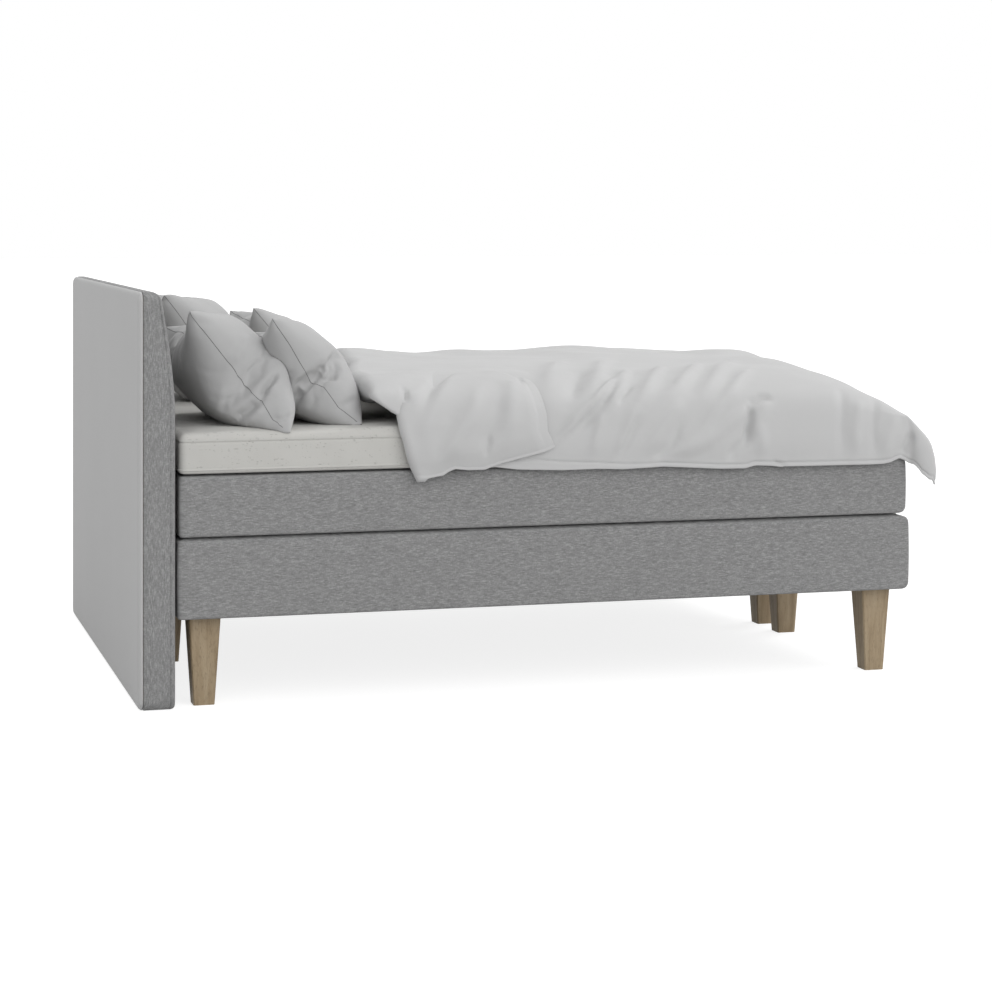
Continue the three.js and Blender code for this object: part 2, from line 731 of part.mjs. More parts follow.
// A point of its outer face, at a distance along its strand from the head end of the bed, and from the left
// hem (-1) to the right one (1). Where two hems meet, at a foot corner, the cloth hangs lower and kicks out.
function duvetPoint(curves, reach, across) {
  const d = duvet;
  const side = curves.across.getPointAt(Math.abs(across));
  const end = curves.along.getPointAt(Math.min(1, reach / curves.along.getLength()));
  const y = Math.sign(across) * side.x;
  const sideDrop = Math.max(0, -side.z);
  const endDrop = Math.max(0, -end.z);
  const kick = d.flare * Math.min(sideDrop, endDrop) / d.drop;
  const depth = end.x - headEdge(y) + d.hemThickness;
  const nose = Math.sqrt(1 - Math.pow(1 - Math.min(1, depth / d.noseRadius), 2));
  const crown = Math.max(0, side.z) * Math.max(0, end.z) / (d.rise * d.rise);
  const fold = d.foldHeight * Math.sin((end.x + y) / d.foldPitch * 2 * Math.PI);
  const z = (d.rise * crown + fold * Math.sqrt(crown)) * nose - Math.hypot(sideDrop, endDrop);
  return new THREE.Vector3(end.x + kick, y + Math.sign(across) * kick, topperTop + d.hemThickness + z);
}

// A closed solid from two faces of a patch that share their edge; each gives a point for a row and a column.
function patchSolid(rows, columns, upper, lower) {
  const positions = [];
  const face = (...corners) => corners.forEach((v) => positions.push(v.x, v.y, v.z));
  const quad = (a, b, c, d) => {
    face(a, b, c);
    face(a, c, d);
  };
  for (let i = 0; i < rows; i++) {
    for (let j = 0; j < columns; j++) {
      quad(upper(i, j), upper(i + 1, j), upper(i + 1, j + 1), upper(i, j + 1));
      quad(lower(i, j), lower(i, j + 1), lower(i + 1, j + 1), lower(i + 1, j));
    }
    quad(upper(i + 1, 0), upper(i, 0), lower(i, 0), lower(i + 1, 0));
    quad(upper(i, columns), upper(i + 1, columns), lower(i + 1, columns), lower(i, columns));
  }
  for (let j = 0; j < columns; j++) {
    quad(upper(0, j), upper(0, j + 1), lower(0, j + 1), lower(0, j));
    quad(upper(rows, j + 1), upper(rows, j), lower(rows, j), lower(rows, j + 1));
  }
  const geometry = new THREE.BufferGeometry();
  geometry.setAttribute('position', new THREE.Float32BufferAttribute(positions, 3));
  return solid(geometry);
}

// The left head corner of the duvet, turned back over it, from its fold (u = 0) to its free edge (u = 1)
// and from the bed's middle (v = 0) to the hem (v = 1).
function turnedCorner(curves) {
  const t = turnback;
  const n = t.cells;
  const lerp = THREE.MathUtils.lerp;
  const length = curves.across.getLength();
  const place = (u, v) => {
    const reach = lerp(lerp(t.foldReach, t.foldHemReach, v), lerp(t.edgeReach, t.cornerReach, v), u);
    const hem = lerp(1, 1 - t.cornerRise / length, u);
    return duvetPoint(curves, reach, -lerp(t.startShare, hem, v));
  };
  const face = (lift) => (i, j) => {
    const [u, v] = [j / n, i / n];
    const step = t.stepShare;
    const here = place(u, v);
    const alongU = place(Math.min(1, u + step), v).sub(place(Math.max(0, u - step), v));
    const alongV = place(u, Math.min(1, v + step)).sub(place(u, Math.max(0, v - step)));
    const out = alongV.cross(alongU).normalize();
    const height = lift > 0 ? t.edgeThickness + t.swell * Math.sin(Math.PI * v) * Math.sqrt(1 - u) : -t.sink;
    return here.addScaledVector(out, height);
  };
  return patchSolid(n, n, face(1), face(-1));
}

// The bed under the duvet, as a round-edged block that it rests on all over.
function bedUnderDuvet() {
  const d = duvet;
  const around = d.sideClearance;
  const plan = layerPlan(-around, -around, 0, bedWidth + 2 * around, topper.corner + around);
  const top = topperTop + fit;
  const edge = topEdge(topper.topEdge, top - topper.crown, topper.edgeSteps);
  const profile = [[0, mattressBottom - overrun], ...edge, [topper.crownWidth, top]];
  return solid(ringSolid(profile.map(([inset, z]) => planRing(plan, inset, z))));
}

function duvetForm() {
  const d = duvet;
  const curves = {
    across: strandCurve(bedWidth / 2, d.shoulderWidth, d.edgeWidth, d.standOff),
    along: strandCurve(bedLength, d.footShoulderWidth, d.footEdgeWidth, d.footStandOff),
  };
  const rows = d.cellsAlong;
  const columns = d.cellsAcross;
  const point = (i, j) => {
    const across = 2 * j / columns - 1;
    const head = headEdge(Math.sign(across) * curves.across.getPointAt(Math.abs(across)).x);
    return duvetPoint(curves, THREE.MathUtils.lerp(head, curves.along.getLength(), i / rows), across);
  };
  const positions = [];
  const face = (...corners) => corners.forEach((v) => positions.push(v.x, v.y, v.z));
  const under = new THREE.Vector3((d.headRight + bedLength) / 2, 0, topperTop - d.drop);
  for (let i = 0; i < rows; i++) {
    for (let j = 0; j < columns; j++) {
      face(point(i, j), point(i + 1, j), point(i + 1, j + 1));
      face(point(i, j), point(i + 1, j + 1), point(i, j + 1));
    }
    face(under, point(i + 1, 0), point(i, 0));
    face(under, point(i, columns), point(i + 1, columns));
  }
  for (let j = 0; j < columns; j++) {
    face(under, point(0, j), point(0, j + 1));
    face(under, point(rows, j + 1), point(rows, j));
  }
  const geometry = new THREE.BufferGeometry();
  geometry.setAttribute('position', new THREE.Float32BufferAttribute(positions, 3));
  return surface(solid(geometry).add(turnedCorner(curves)).subtract(bedUnderDuvet()));
}

const bed = new THREE.Group();
bed.add(headboardUnit(), topperUnit(), pillows());
bed.add(piece('duvet', duvetForm(), looks.bedding));
sides.forEach((side) => bed.add(base(side), legs(side), mattressUnit(side)));
ends.forEach((end) => bed.add(connectorPlate(end)));

// The origin is on the floor under the middle of the whole bed.
const extent = new THREE.Box3().setFromObject(bed, true);
bed.position.set(-(extent.min.x + extent.max.x) / 2, -(extent.min.y + extent.max.y) / 2, 0);

const boxSpringBed = new THREE.Group();
boxSpringBed.add(bed);

export default boxSpringBed;
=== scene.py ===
import math

import bpy
import numpy as np
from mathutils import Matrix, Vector, noise
from mathutils.bvhtree import BVHTree


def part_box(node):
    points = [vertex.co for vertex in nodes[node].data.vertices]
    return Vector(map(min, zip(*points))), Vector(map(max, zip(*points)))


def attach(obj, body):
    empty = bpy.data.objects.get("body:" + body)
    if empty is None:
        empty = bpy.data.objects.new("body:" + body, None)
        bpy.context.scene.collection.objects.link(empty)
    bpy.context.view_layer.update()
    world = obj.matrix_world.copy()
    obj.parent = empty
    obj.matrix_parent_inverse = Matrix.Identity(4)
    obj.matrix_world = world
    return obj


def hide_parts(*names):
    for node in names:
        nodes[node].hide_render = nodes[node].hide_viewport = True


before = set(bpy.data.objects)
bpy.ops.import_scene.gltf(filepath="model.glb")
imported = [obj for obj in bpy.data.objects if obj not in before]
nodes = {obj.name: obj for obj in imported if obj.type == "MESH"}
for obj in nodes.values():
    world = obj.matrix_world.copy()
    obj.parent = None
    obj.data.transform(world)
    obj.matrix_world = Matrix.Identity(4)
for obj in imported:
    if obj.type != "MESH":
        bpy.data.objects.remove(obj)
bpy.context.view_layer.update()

# The studio. A level camera stands to the left of the bed and looks past its head end.
# The bed stands on a plain pale floor, lit by a lamp over the far corner of its foot, by a broad
# window on the camera's side and by a pale wall behind its head.
camera_turn = -0.26989
camera = bpy.data.objects.new("camera", bpy.data.cameras.new("camera"))
camera.location = (-1.8975, -7.0953, 1.2573)
camera.rotation_euler = (math.pi / 2, 0, camera_turn)
camera.data.sensor_width = 36
camera.data.lens = 90.82
camera.data.shift_y = -0.2861
camera.data.clip_end = 100
bpy.context.collection.objects.link(camera)
bpy.context.scene.camera = camera

bpy.context.scene.view_settings.view_transform = "Standard"


class Tone:
    """An output of a shader node. Sums and products of tones add Math nodes."""

    def __init__(self, look, socket):
        self.look = look
        self.socket = socket

    def math(self, operation, *values):
        """A Math node on these values, or on this tone alone."""
        values = dict(enumerate(values or (self,)))
        return self.look.node("ShaderNodeMath", {"operation": operation}, values)

    def __add__(self, other):
        return self.math("ADD", self, other)

    def __radd__(self, other):
        return self.math("ADD", other, self)

    def __sub__(self, other):
        return self.math("SUBTRACT", self, other)

    def __rsub__(self, other):
        return self.math("SUBTRACT", other, self)

    def __mul__(self, other):
        return self.math("MULTIPLY", self, other)

    def __rmul__(self, other):
        return self.math("MULTIPLY", other, self)


class Look:
    """The nodes of one surface, lamp or backdrop."""

    def __init__(self, owner):
        owner.use_nodes = True
        self.owner = owner
        self.tree = owner.node_tree
        self.tree.nodes.clear()

    def node(self, kind, settings=None, sockets=None, output=0):
        """A new node: its settings are set first, then the values or links of its sockets."""
        node = self.tree.nodes.new(kind)
        for name, value in (settings or {}).items():
            if name == "stops":
                stops = node.color_ramp.elements
                while len(stops) < len(value):
                    stops.new(1)
                for stop, (place, colour) in zip(stops, value):
                    stop.position = place
                    stop.color = colour
            else:
                setattr(node, name, value)
        for name, value in (sockets or {}).items():
            if isinstance(value, Tone):
                self.tree.links.new(value.socket, node.inputs[name])
            else:
                node.inputs[name].default_value = value
        return Tone(self, node.outputs[output]) if node.outputs else None

    def seen(self):
        """One where the camera looks at it, or sees it mirrored or through glass."""
        rays = [self.node("ShaderNodeLightPath", output=name) for name in
                ("Is Camera Ray", "Is Glossy Ray", "Is Transmission Ray")]
        either = rays[0].math("MAXIMUM", rays[0], rays[1])
        return either.math("MAXIMUM", either, rays[2])


backdrop = Look(bpy.data.worlds.new("backdrop"))
bpy.context.scene.world = backdrop.owner
room_light = backdrop.node("ShaderNodeBackground", {}, {"Color": (1, 1, 1, 1), "Strength": 0.61})
white = backdrop.node("ShaderNodeBackground", {}, {"Color": (1, 1, 1, 1), "Strength": 1})
sky = backdrop.node("ShaderNodeMixShader", {}, {0: backdrop.seen(), 1: room_light, 2: white})
backdrop.node("ShaderNodeOutputWorld", {}, {"Surface": sky})

lamps = [("lamp", 0.85, 0.4, (0.62, 0.38, 0.85)), ("window", 1.25, 1.1, (0.45, -0.80, 0.42)),
         ("wall", 0.5, 0.5, (-1, 0, 0.1))]
for name, energy, spread, source in lamps:
    lamp = bpy.data.objects.new(name, bpy.data.lights.new(name, "SUN"))
    lamp.data.energy = energy
    lamp.data.angle = spread
    lamp.rotation_euler = Vector(source).to_track_quat("Z", "Y").to_euler()
    bpy.context.collection.objects.link(lamp)

floor_finish = Look(bpy.data.materials.new("floor"))
matt = floor_finish.node("ShaderNodeBsdfDiffuse", {}, {"Color": (0.6, 0.6, 0.6, 1)})
lit = floor_finish.node("ShaderNodeEmission", {}, {"Color": (1, 1, 1, 1), "Strength": 0.83})
dimmed = floor_finish.node("ShaderNodeBsdfDiffuse", {}, {"Color": (0.42, 0.42, 0.42, 1)})
pale = floor_finish.node("ShaderNodeAddShader", {}, {0: lit, 1: dimmed})
ground = floor_finish.node("ShaderNodeMixShader", {}, {0: floor_finish.seen(), 1: matt, 2: pale})
floor_finish.node("ShaderNodeOutputMaterial", {}, {"Surface": ground})


def mesh_object(name, points, faces):
    """A new object in the scene, of these points in metres and these faces."""
    mesh = bpy.data.meshes.new(name)
    mesh.from_pydata([tuple(p) for p in points], [], faces)
    mesh.update()
    made = bpy.data.objects.new(name, mesh)
    bpy.context.collection.objects.link(made)
    return made


floor_reach = 60
floor_corners = [(a * floor_reach, b * floor_reach, 0) for a, b in ((-1, -1), (1, -1), (1, 1), (-1, 1))]
floor = mesh_object("floor", floor_corners, [(0, 1, 2, 3)])
floor.data.materials.append(floor_finish.owner)


# Softwood frames inside the bases and the headboard, sawn and glued, hidden by the upholstery.
# Rings of darker late wood run along each board.
class Finish(Look):
    """A procedural surface whose pattern is laid out in metres over the bed."""

    def __init__(self, name):
        super().__init__(bpy.data.materials.new(name))
        self.place = self.node("ShaderNodeTexCoord", output="Object")

    def scaled(self, stretch, place=None):
        """The place stretched alike, or by three factors."""
        factors = stretch if isinstance(stretch, tuple) else (stretch,) * 3
        sockets = {0: place or self.place, 1: factors}
        return self.node("ShaderNodeVectorMath", {"operation": "MULTIPLY"}, sockets)

    def grain(self, stretch, detail=2, place=None):
        """Noise from 0 to 1, with so many lumps a metre along each direction."""
        sockets = {"Vector": self.scaled(stretch, place), "Scale": 1, "Detail": detail}
        return self.node("ShaderNodeTexNoise", {}, sockets)

    def spots(self, count, output=0):
        """The distance to the nearest of so many random spots a metre, or a colour for each."""
        return self.node("ShaderNodeTexVoronoi", {}, {"Vector": self.place, "Scale": count}, output)

    def split(self):
        """The place as three tones: along the bed, across it and up."""
        return [self.node("ShaderNodeSeparateXYZ", {}, {0: self.place}, output=i) for i in range(3)]

    def joined(self, *tones):
        """A place of two or three tones."""
        return self.node("ShaderNodeCombineXYZ", {}, dict(enumerate(tones)))

    def blend(self, share, first, second):
        """A mix of two colours."""
        sockets = {0: share, 6: first, 7: second}
        return self.node("ShaderNodeMix", {"data_type": "RGBA"}, sockets, output=2)

    def steps(self, tone, *stops):
        """A colour that follows a tone through these stops."""
        return self.node("ShaderNodeValToRGB", {"stops": stops}, {0: tone})

    def range(self, tone, low, high):
        """Where a tone lies between two values, from 0 to 1."""
        return self.node("ShaderNodeMapRange", {"clamp": True}, {0: tone, 1: low, 2: high})

    def coat(self, colour, roughness, height, depth, **uniform):
        """Ends the tree in one shader; height is a relief of so many metres."""
        sockets = {"Base Color": colour, "Roughness": roughness}
        sockets.update({name.replace("_", " "): value for name, value in uniform.items()})
        relief = {"Height": height, "Distance": depth, "Strength": 1}
        sockets["Normal"] = self.node("ShaderNodeBump", {}, relief)
        shader = self.node("ShaderNodeBsdfPrincipled", {}, sockets)
        self.node("ShaderNodeOutputMaterial", {}, {"Surface": shader})


def shade(red, green, blue):
    """A colour from its levels on a screen, 0 to 255."""
    levels = [value / 255 for value in (red, green, blue)]
    linear = [v / 12.92 if v <= 0.04045 else ((v + 0.055) / 1.055) ** 2.4 for v in levels]
    return (*linear, 1)


def finish_nodes(finish, *names):
    """Gives solids of the frame a better finish."""
    for name in names:
        for place in nodes[name].material_slots:
            place.material = finish.owner


def per_side(*parts):
    """The names of parts that both halves of the bed have."""
    return [f"{side}_{part}" for side in ("left", "right") for part in parts]


softwood = Finish("softwood")
warp = softwood.grain((3, 9, 9))
bands = softwood.node("ShaderNodeTexWave", {"bands_direction": "Z"}, {
    "Vector": softwood.scaled((1.5, 9, 9)), "Scale": 3, "Distortion": 5, "Detail": 2, "Detail Scale": 1})
fibre = softwood.grain((25, 700, 700), 3)
early, late = shade(226, 196, 148), shade(196, 152, 98)
figure = softwood.steps(bands * 0.7 + warp * 0.3, (0.2, early), (0.85, late))
softwood.coat(softwood.blend(fibre * 0.35, figure, shade(170, 126, 80)), 0.62 + fibre * 0.2, fibre, 0.0004)
finish_nodes(softwood, "headboard_frame", *per_side(
    "base_outer_rail", "base_inner_rail", "base_head_rail", "base_foot_rail",
    "base_head_leg_rail", "base_foot_leg_rail", "base_centre_rail"))

# Hardboard deck of each base, pressed from brown fibres and stapled on the rails.
# It carries the springs; its fibres show as fine specks with darker patches between them.
hardboard = Finish("hardboard")
fibres = hardboard.grain(900, 4)
patches = hardboard.grain(14)
board_tone = hardboard.steps(fibres, (0.3, shade(104, 74, 48)), (0.7, shade(142, 108, 76)))
board_tone = hardboard.blend(patches * 0.4, board_tone, shade(118, 86, 58))
hardboard.coat(board_tone, 0.7 + fibres * 0.15, fibres, 0.0002)
finish_nodes(hardboard, *per_side("base_deck"))

# Springs of the bases and the mattresses, in pockets of white non-woven cloth.
# The pockets are welded in small dots and glued row to row.
pocket_cloth = Finish("pocket_cloth")
weld = pocket_cloth.range(pocket_cloth.spots(500), 0.12, 0.4)
wrinkle = pocket_cloth.grain((30, 30, 8), 4)
cloth_tone = pocket_cloth.blend(weld * 0.5 + wrinkle * 0.3, shade(206, 206, 200), shade(234, 234, 228))
pocket_cloth.coat(cloth_tone, 0.82 + weld * 0.1, weld * 0.2 + wrinkle, 0.002)
finish_nodes(pocket_cloth, *per_side("base_springs", "mattress_springs"))

# Foam of the mattresses, the topper and the headboard's pad: cream, with open cells.
# Its sheets are cut by a band knife, which leaves faint level lines.
foam = Finish("foam")
cells = foam.spots(700)
knife = foam.grain((4, 4, 160), 3)
foam_tone = foam.steps(cells, (0.1, shade(206, 194, 152)), (0.6, shade(242, 234, 204)))
foam_tone = foam.blend(knife * 0.25, foam_tone, shade(226, 214, 174))
foam.coat(foam_tone, 0.9 + cells * 0.08, cells + knife, 0.0008)
finish_nodes(foam, "headboard_foam", "topper_core", *per_side("mattress_foam"))

# Black dust cloth under each base: a thin, slightly fuzzy non-woven.
# It is tacked to the frame inside the cover's hem, and sags a little between the tacks.
dust_cloth = Finish("dust_cloth")
threads = dust_cloth.grain(1500, 3)
sag = dust_cloth.grain(5)
dust_tone = dust_cloth.blend(threads, shade(20, 20, 21), shade(52, 52, 54))
dust_cloth.coat(dust_tone, 0.9 + threads * 0.08, threads * 0.1 + sag, 0.002)
finish_nodes(dust_cloth, *per_side("base_bottom_cloth"))

# Zinc-plated steel: the legs' and the headboard's bolts, and the plates that join the two bases.
# The plating has faint spangles, brushed lines and duller, handled patches.
steel = Finish("steel")
brushed = steel.grain((60, 900, 900), 3)
spangle = steel.spots(260, "Color")
worn = steel.grain(40, 3)
plated = steel.blend(0.12, shade(188, 190, 194), spangle)
steel_tone = steel.blend(worn * 0.5, plated, shade(150, 152, 156))
steel.coat(steel_tone, 0.28 + worn * 0.25, brushed, 0.0001, Metallic=1)
leg_names = [f"{end}_{place}_leg" for end in ("head", "foot") for place in ("outer", "inner")]
finish_nodes(steel, "head_connector", "foot_connector", "left_headboard_bolt", "right_headboard_bolt",
             *per_side(*[f"{leg}_bolt" for leg in leg_names]))

# Pan-head screws hold each connecting plate up under both bases, four to a plate.
# Each is a turned head with a round recess, and its shank goes up into the rails.


def piece(name, points, faces, finish, stands_for=(), slot=None):
    """A new piece of the bed, in metres, which rides with it and may stand for solids of the frame."""
    made = mesh_object(name, points, faces)
    made.data.materials.append(finish.owner)
    made.data.shade_smooth()
    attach(made, "root")
    if stands_for:
        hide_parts(*stands_for)
    return made


def loft(rings, closed=True):
    """Quads between rings of points that climb counter-clockwise, with a fan at each end."""
    count = len(rings[0])
    points = [p for ring in rings for p in ring]
    faces = []
    for k in range(len(rings) - 1):
        for i in range(count):
            a, b = k * count + i, k * count + (i + 1) % count
            faces.append((a, b, b + count, a + count))
    if closed:
        for k, facing_down in ((0, True), (len(rings) - 1, False)):
            hub = len(points)
            points.append(np.mean(rings[k], axis=0))
            for i in range(count):
                a, b = k * count + i, k * count + (i + 1) % count
                faces.append((hub, b, a) if facing_down else (hub, a, b))
    return points, faces


def joined_meshes(*meshes):
    """Several meshes as one, each given as points and faces."""
    points, faces = [], []
    for more_points, more_faces in meshes:
        first = len(points)
        points += list(more_points)
        faces += [tuple(first + i for i in face) for face in more_faces]
    return points, faces


def turned(centre, profile, count=24):
    """Rings about an upright axis, from pairs of radius and level."""
    angles = np.arange(count) * 2 * np.pi / count
    return [np.column_stack([centre[0] + r * np.cos(angles), centre[1] + r * np.sin(angles),
                             np.full(count, z)]) for r, z in profile]


screw_head = [(0.0021, 0.030), (0.0021, 0.0006), (0.0024, 0.0001), (0.0044, 0), (0.0043, -0.0012),
              (0.0036, -0.0021), (0.0024, -0.0025), (0.0014, -0.0026), (0.0009, -0.0014)]
screw_inset = 0.014
for end in ("head", "foot"):
    low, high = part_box(f"{end}_connector")
    profile = [(r, low.z + z) for r, z in reversed(screw_head)]
    screws = [loft(turned((x, y), profile)) for x in (low.x + screw_inset, high.x - screw_inset)
              for y in (low.y + screw_inset, high.y - screw_inset)]
    piece(f"{end}_connector_screws", *joined_meshes(*screws), steel, slot="steel")

# Eight tapered legs of light oak, planed square, their edges chamfered, oiled to a dull sheen.
# The grain runs down each leg, with fine dark pores and broad cathedral bands.
oak = Finish("oak")
sway = oak.grain((14, 14, 2.2), 2)
bent = oak.node("ShaderNodeVectorMath", {"operation": "ADD"}, {
    0: oak.scaled((60, 60, 3)), 1: oak.joined(sway * 3, sway * 2)})
growth_rings = oak.grain(1, 2, bent)
pores = oak.range(oak.grain((900, 900, 30), 3), 0.58, 0.7)
streaks = oak.grain((240, 240, 5), 3)
wood_tone = oak.steps(growth_rings, (0.3, shade(175, 157, 130)), (0.52, shade(162, 143, 115)),
                      (0.7, shade(143, 124, 97)))
wood_tone = oak.blend(streaks * 0.3, wood_tone, shade(134, 114, 86))
wood_tone = oak.blend(pores * 0.45, wood_tone, shade(104, 86, 62))
oak.coat(wood_tone, 0.5 + streaks * 0.14, streaks * 0.5 - pores, 0.0004)
finish_nodes(oak, *per_side(*leg_names))

# Upholstery fabric of both bases: grey melange yarns, woven, glued over thin wadding and turned in below.
# Lighter and darker slubs lie along the bed; on the headboard the same cloth is turned upright.


def grey(level):
    """A neutral colour from its level on a screen, 0 to 255."""
    return shade(level, level, level)


def woven(name, turned_upright):
    """Cloth whose slubs and yarns lie in rows, each row so high."""
    slub_row, yarn_row, thread_pitch = 0.0027, 0.0016, 0.0021
    cloth = Finish(name)
    x, y, z = cloth.split()
    along, over = (z, x + y) if turned_upright else (x + y, z)
    slubs = cloth.grain((55, 7.3, 0), 1, cloth.joined(along, (over * (1 / slub_row)).math("FLOOR")))
    yarns = cloth.grain((150, 5.7, 0), 1, cloth.joined(along, (over * (1 / yarn_row)).math("FLOOR")))
    lie = cloth.joined(along, over)
    ends = cloth.grain((420, 130, 0), 1, lie)
    clouds = cloth.grain((7, 14, 0), 2, lie)
    mix = slubs * 0.45 + yarns * 0.35 + ends * 0.2
    tone = cloth.steps(mix, (0.34, grey(119)), (0.5, grey(141)), (0.66, grey(167)))
    tone = cloth.blend(clouds * 0.16, tone, grey(138))
    turns = 2 * math.pi / thread_pitch
    weave = (over * turns).math("SINE") * (along * turns).math("SINE")
    relief = weave * 0.25 + mix
    cloth.coat(tone, 0.86 + yarns * 0.1, relief, 0.0007, Sheen_Weight=0.12, Sheen_Roughness=0.5)
    return cloth


def rounded(length, width, corner, inset, spacing=0.025, steps=7):
    """Points counter-clockwise round a rounded rectangle about the origin, drawn in by inset."""
    least_radius = 0.0004
    radius = max(corner - inset, least_radius)
    half = np.array((length / 2 - inset - radius, width / 2 - inset - radius))
    counts = [max(2, round((side - 2 * corner) / spacing)) for side in (length, width)]
    arcs = []
    for quarter in range(4):
        middle = half * (1 if quarter in (0, 3) else -1, 1 if quarter < 2 else -1)
        angles = (quarter + np.arange(steps + 1) / steps) * np.pi / 2
        arcs.append(middle + radius * np.column_stack([np.cos(angles), np.sin(angles)]))
    points = []
    for quarter, arc in enumerate(arcs):
        shares = np.arange(1, counts[quarter % 2])[:, None] / counts[quarter % 2]
        points += [arc, arc[-1] + (arcs[(quarter + 1) % 4][0] - arc[-1]) * shares]
    return np.vstack(points)


def quarter_round(radius, level, steps, rising):
    """Insets and levels of a rounded edge: rising from the underside, or closing onto the top."""
    angles = np.arange(steps + 1) / steps * np.pi / 2
    if rising:
        return [(radius * (1 - math.sin(a)), level + radius * (1 - math.cos(a))) for a in angles]
    return [(radius * (1 - math.cos(a)), level - radius * (1 - math.sin(a))) for a in angles]


def box_cover(node, finish, inner_side, top_rim, bottom_rim):
    """A sewn cover: wall, hem turned in, rounded edges and softly filled sides; its rims stand back."""
    head_gap, foot_reach, end_round, end_share = 0.001, 0.006, 0.020, 0.8
    wall, hem, hem_width, edge, corner, fill = 0.004, 0.003, 0.022, 0.006, 0.013, 0.0016
    step_inset, step_drop = 0.012, 0.0038
    low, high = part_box(node)
    low, high = low + Vector((head_gap, 0, 0)), high + Vector((foot_reach, 0, 0))
    middle, length, width = (low + high) / 2, high.x - low.x, high.y - low.y
    top, bottom = high.z - top_rim, low.z + bottom_rim
    from_rim = (0.009, 0.013, 0.018, 0.024, 0.035)
    levels = [bottom + d for d in from_rim] + list(np.linspace(bottom + 0.05, top - 0.05, 4))
    levels += [top - d for d in reversed(from_rim)]
    profile = [(wall, top - wall), (wall, low.z + hem), (hem_width, low.z + hem), (hem_width, low.z)]
    profile += quarter_round(edge, bottom, 5, True) + [(0, z) for z in levels]
    profile += quarter_round(edge, top, 5, False) + [(step_inset, high.z - min(top_rim, step_drop))]
    profile += [(inset, high.z) for inset in (0.03, 0.05, 0.1, 0.2)]
    rings = []
    for inset, z in profile:
        ring = rounded(length, width, corner, inset)
        if inset == 0:
            share = (z - low.z) / (high.z - low.z)
            swell = fill * math.sin(math.pi * min(1, max(0, share)))
            outward = ring / np.abs(ring).max(axis=0)
            near_inner = np.clip((0.5 - ring[:, 1] * inner_side / width) * 8, 0, 1)
            ring = ring + (outward ** 9) * swell * near_inner[:, None]
        lean = max(0, 1 - max(0, min(z - bottom, top - z)) / end_round)
        drawn_in = end_round * (1 - math.sqrt(1 - lean * lean)) * end_share
        ring[:, 0] *= 1 - drawn_in / (length / 2) * (ring[:, 0] > 0)
        rings.append(np.column_stack([ring + (middle.x, middle.y), np.full(len(ring), z)]))
    return piece(f"{node}_cloth", *loft(rings), finish, [node], "box_fabric")


box_fabric = woven("box_fabric", False)
for side, inner_side in (("left", 1), ("right", -1)):
    box_cover(f"{side}_base_cover", box_fabric, inner_side, top_rim=0.0065, bottom_rim=-0.005)

# Covers of the two mattresses, sewn of the same cloth as the bases'.
# They stand on the bases with a deep, narrow joint all round.
for side, inner_side in (("left", 1), ("right", -1)):
    box_cover(f"{side}_mattress_cover", box_fabric, inner_side, top_rim=0.003, bottom_rim=0.0015)

# The topper: a foam slab in a sewn cover of pale quilted knit, its top crowned and slightly uneven.
# A flat seam runs round under the top edge, and a pale piping round the bottom one.
knit = Finish("topper_fabric")
x, y, z = knit.split()
knit_rows = 380
pricks = knit.grain((110, 6.3, 0), 1, knit.joined(x + y, (z * knit_rows).math("FLOOR")))
clusters = knit.grain((22, 60, 0), 1, knit.joined(x + y, z))
marks = knit.range(pricks, 0.60, 0.70) * knit.range(clusters, 0.46, 0.56)
loops = knit.spots(520)
cloud = knit.grain(9, 3)
knit_tone = knit.blend(cloud, shade(190, 189, 185), shade(201, 200, 196))
knit_tone = knit.blend(marks * 0.30, knit_tone, shade(120, 119, 116))
knit.coat(knit_tone, 0.84 + loops * 0.1, loops * 0.15 - marks * 0.3 + cloud, 0.0012,
          Sheen_Weight=0.15, Sheen_Roughness=0.4)

topper_low, topper_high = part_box("topper_cover")
edge_radius, crown, crown_run = 0.020, 0.005, 0.044
topper_shoulder = topper_high.z - crown
edge_waves = np.array([(10, -1), (30, -1), (132, 4), (209, 2), (312, -2), (443, 4), (575, 8), (760, -1),
                       (980, 4), (1240, -2), (1500, 3), (1760, -1), (1950, -1)]) / 1000


def topper_rise(x, y):
    """How far the topper's top stands over or under its plain level, in metres."""
    along = np.interp(x - topper_low.x, edge_waves[:, 0], edge_waves[:, 1])
    inward = np.clip((y - topper_low.y) / 0.35, 0, 1)
    broad = 0.004 * noise.noise(Vector((x * 4.2, y * 4.2, 3.1)))
    return along * (1 - inward) + max(-0.002, broad) * inward


def topper_level(x, y):
    """The height of the topper's upper face, which rounds off at its edges."""
    inset = min(x - topper_low.x, topper_high.x - x, y - topper_low.y, topper_high.y - y)
    if inset < edge_radius:
        lean = 1 - max(0, inset) / edge_radius
        fall = edge_radius * (1 - math.sqrt(max(0, 1 - lean * lean)))
        return topper_shoulder - fall + topper_rise(x, y)
    return topper_shoulder + crown * min(1, (inset - edge_radius) / crown_run) + topper_rise(x, y)


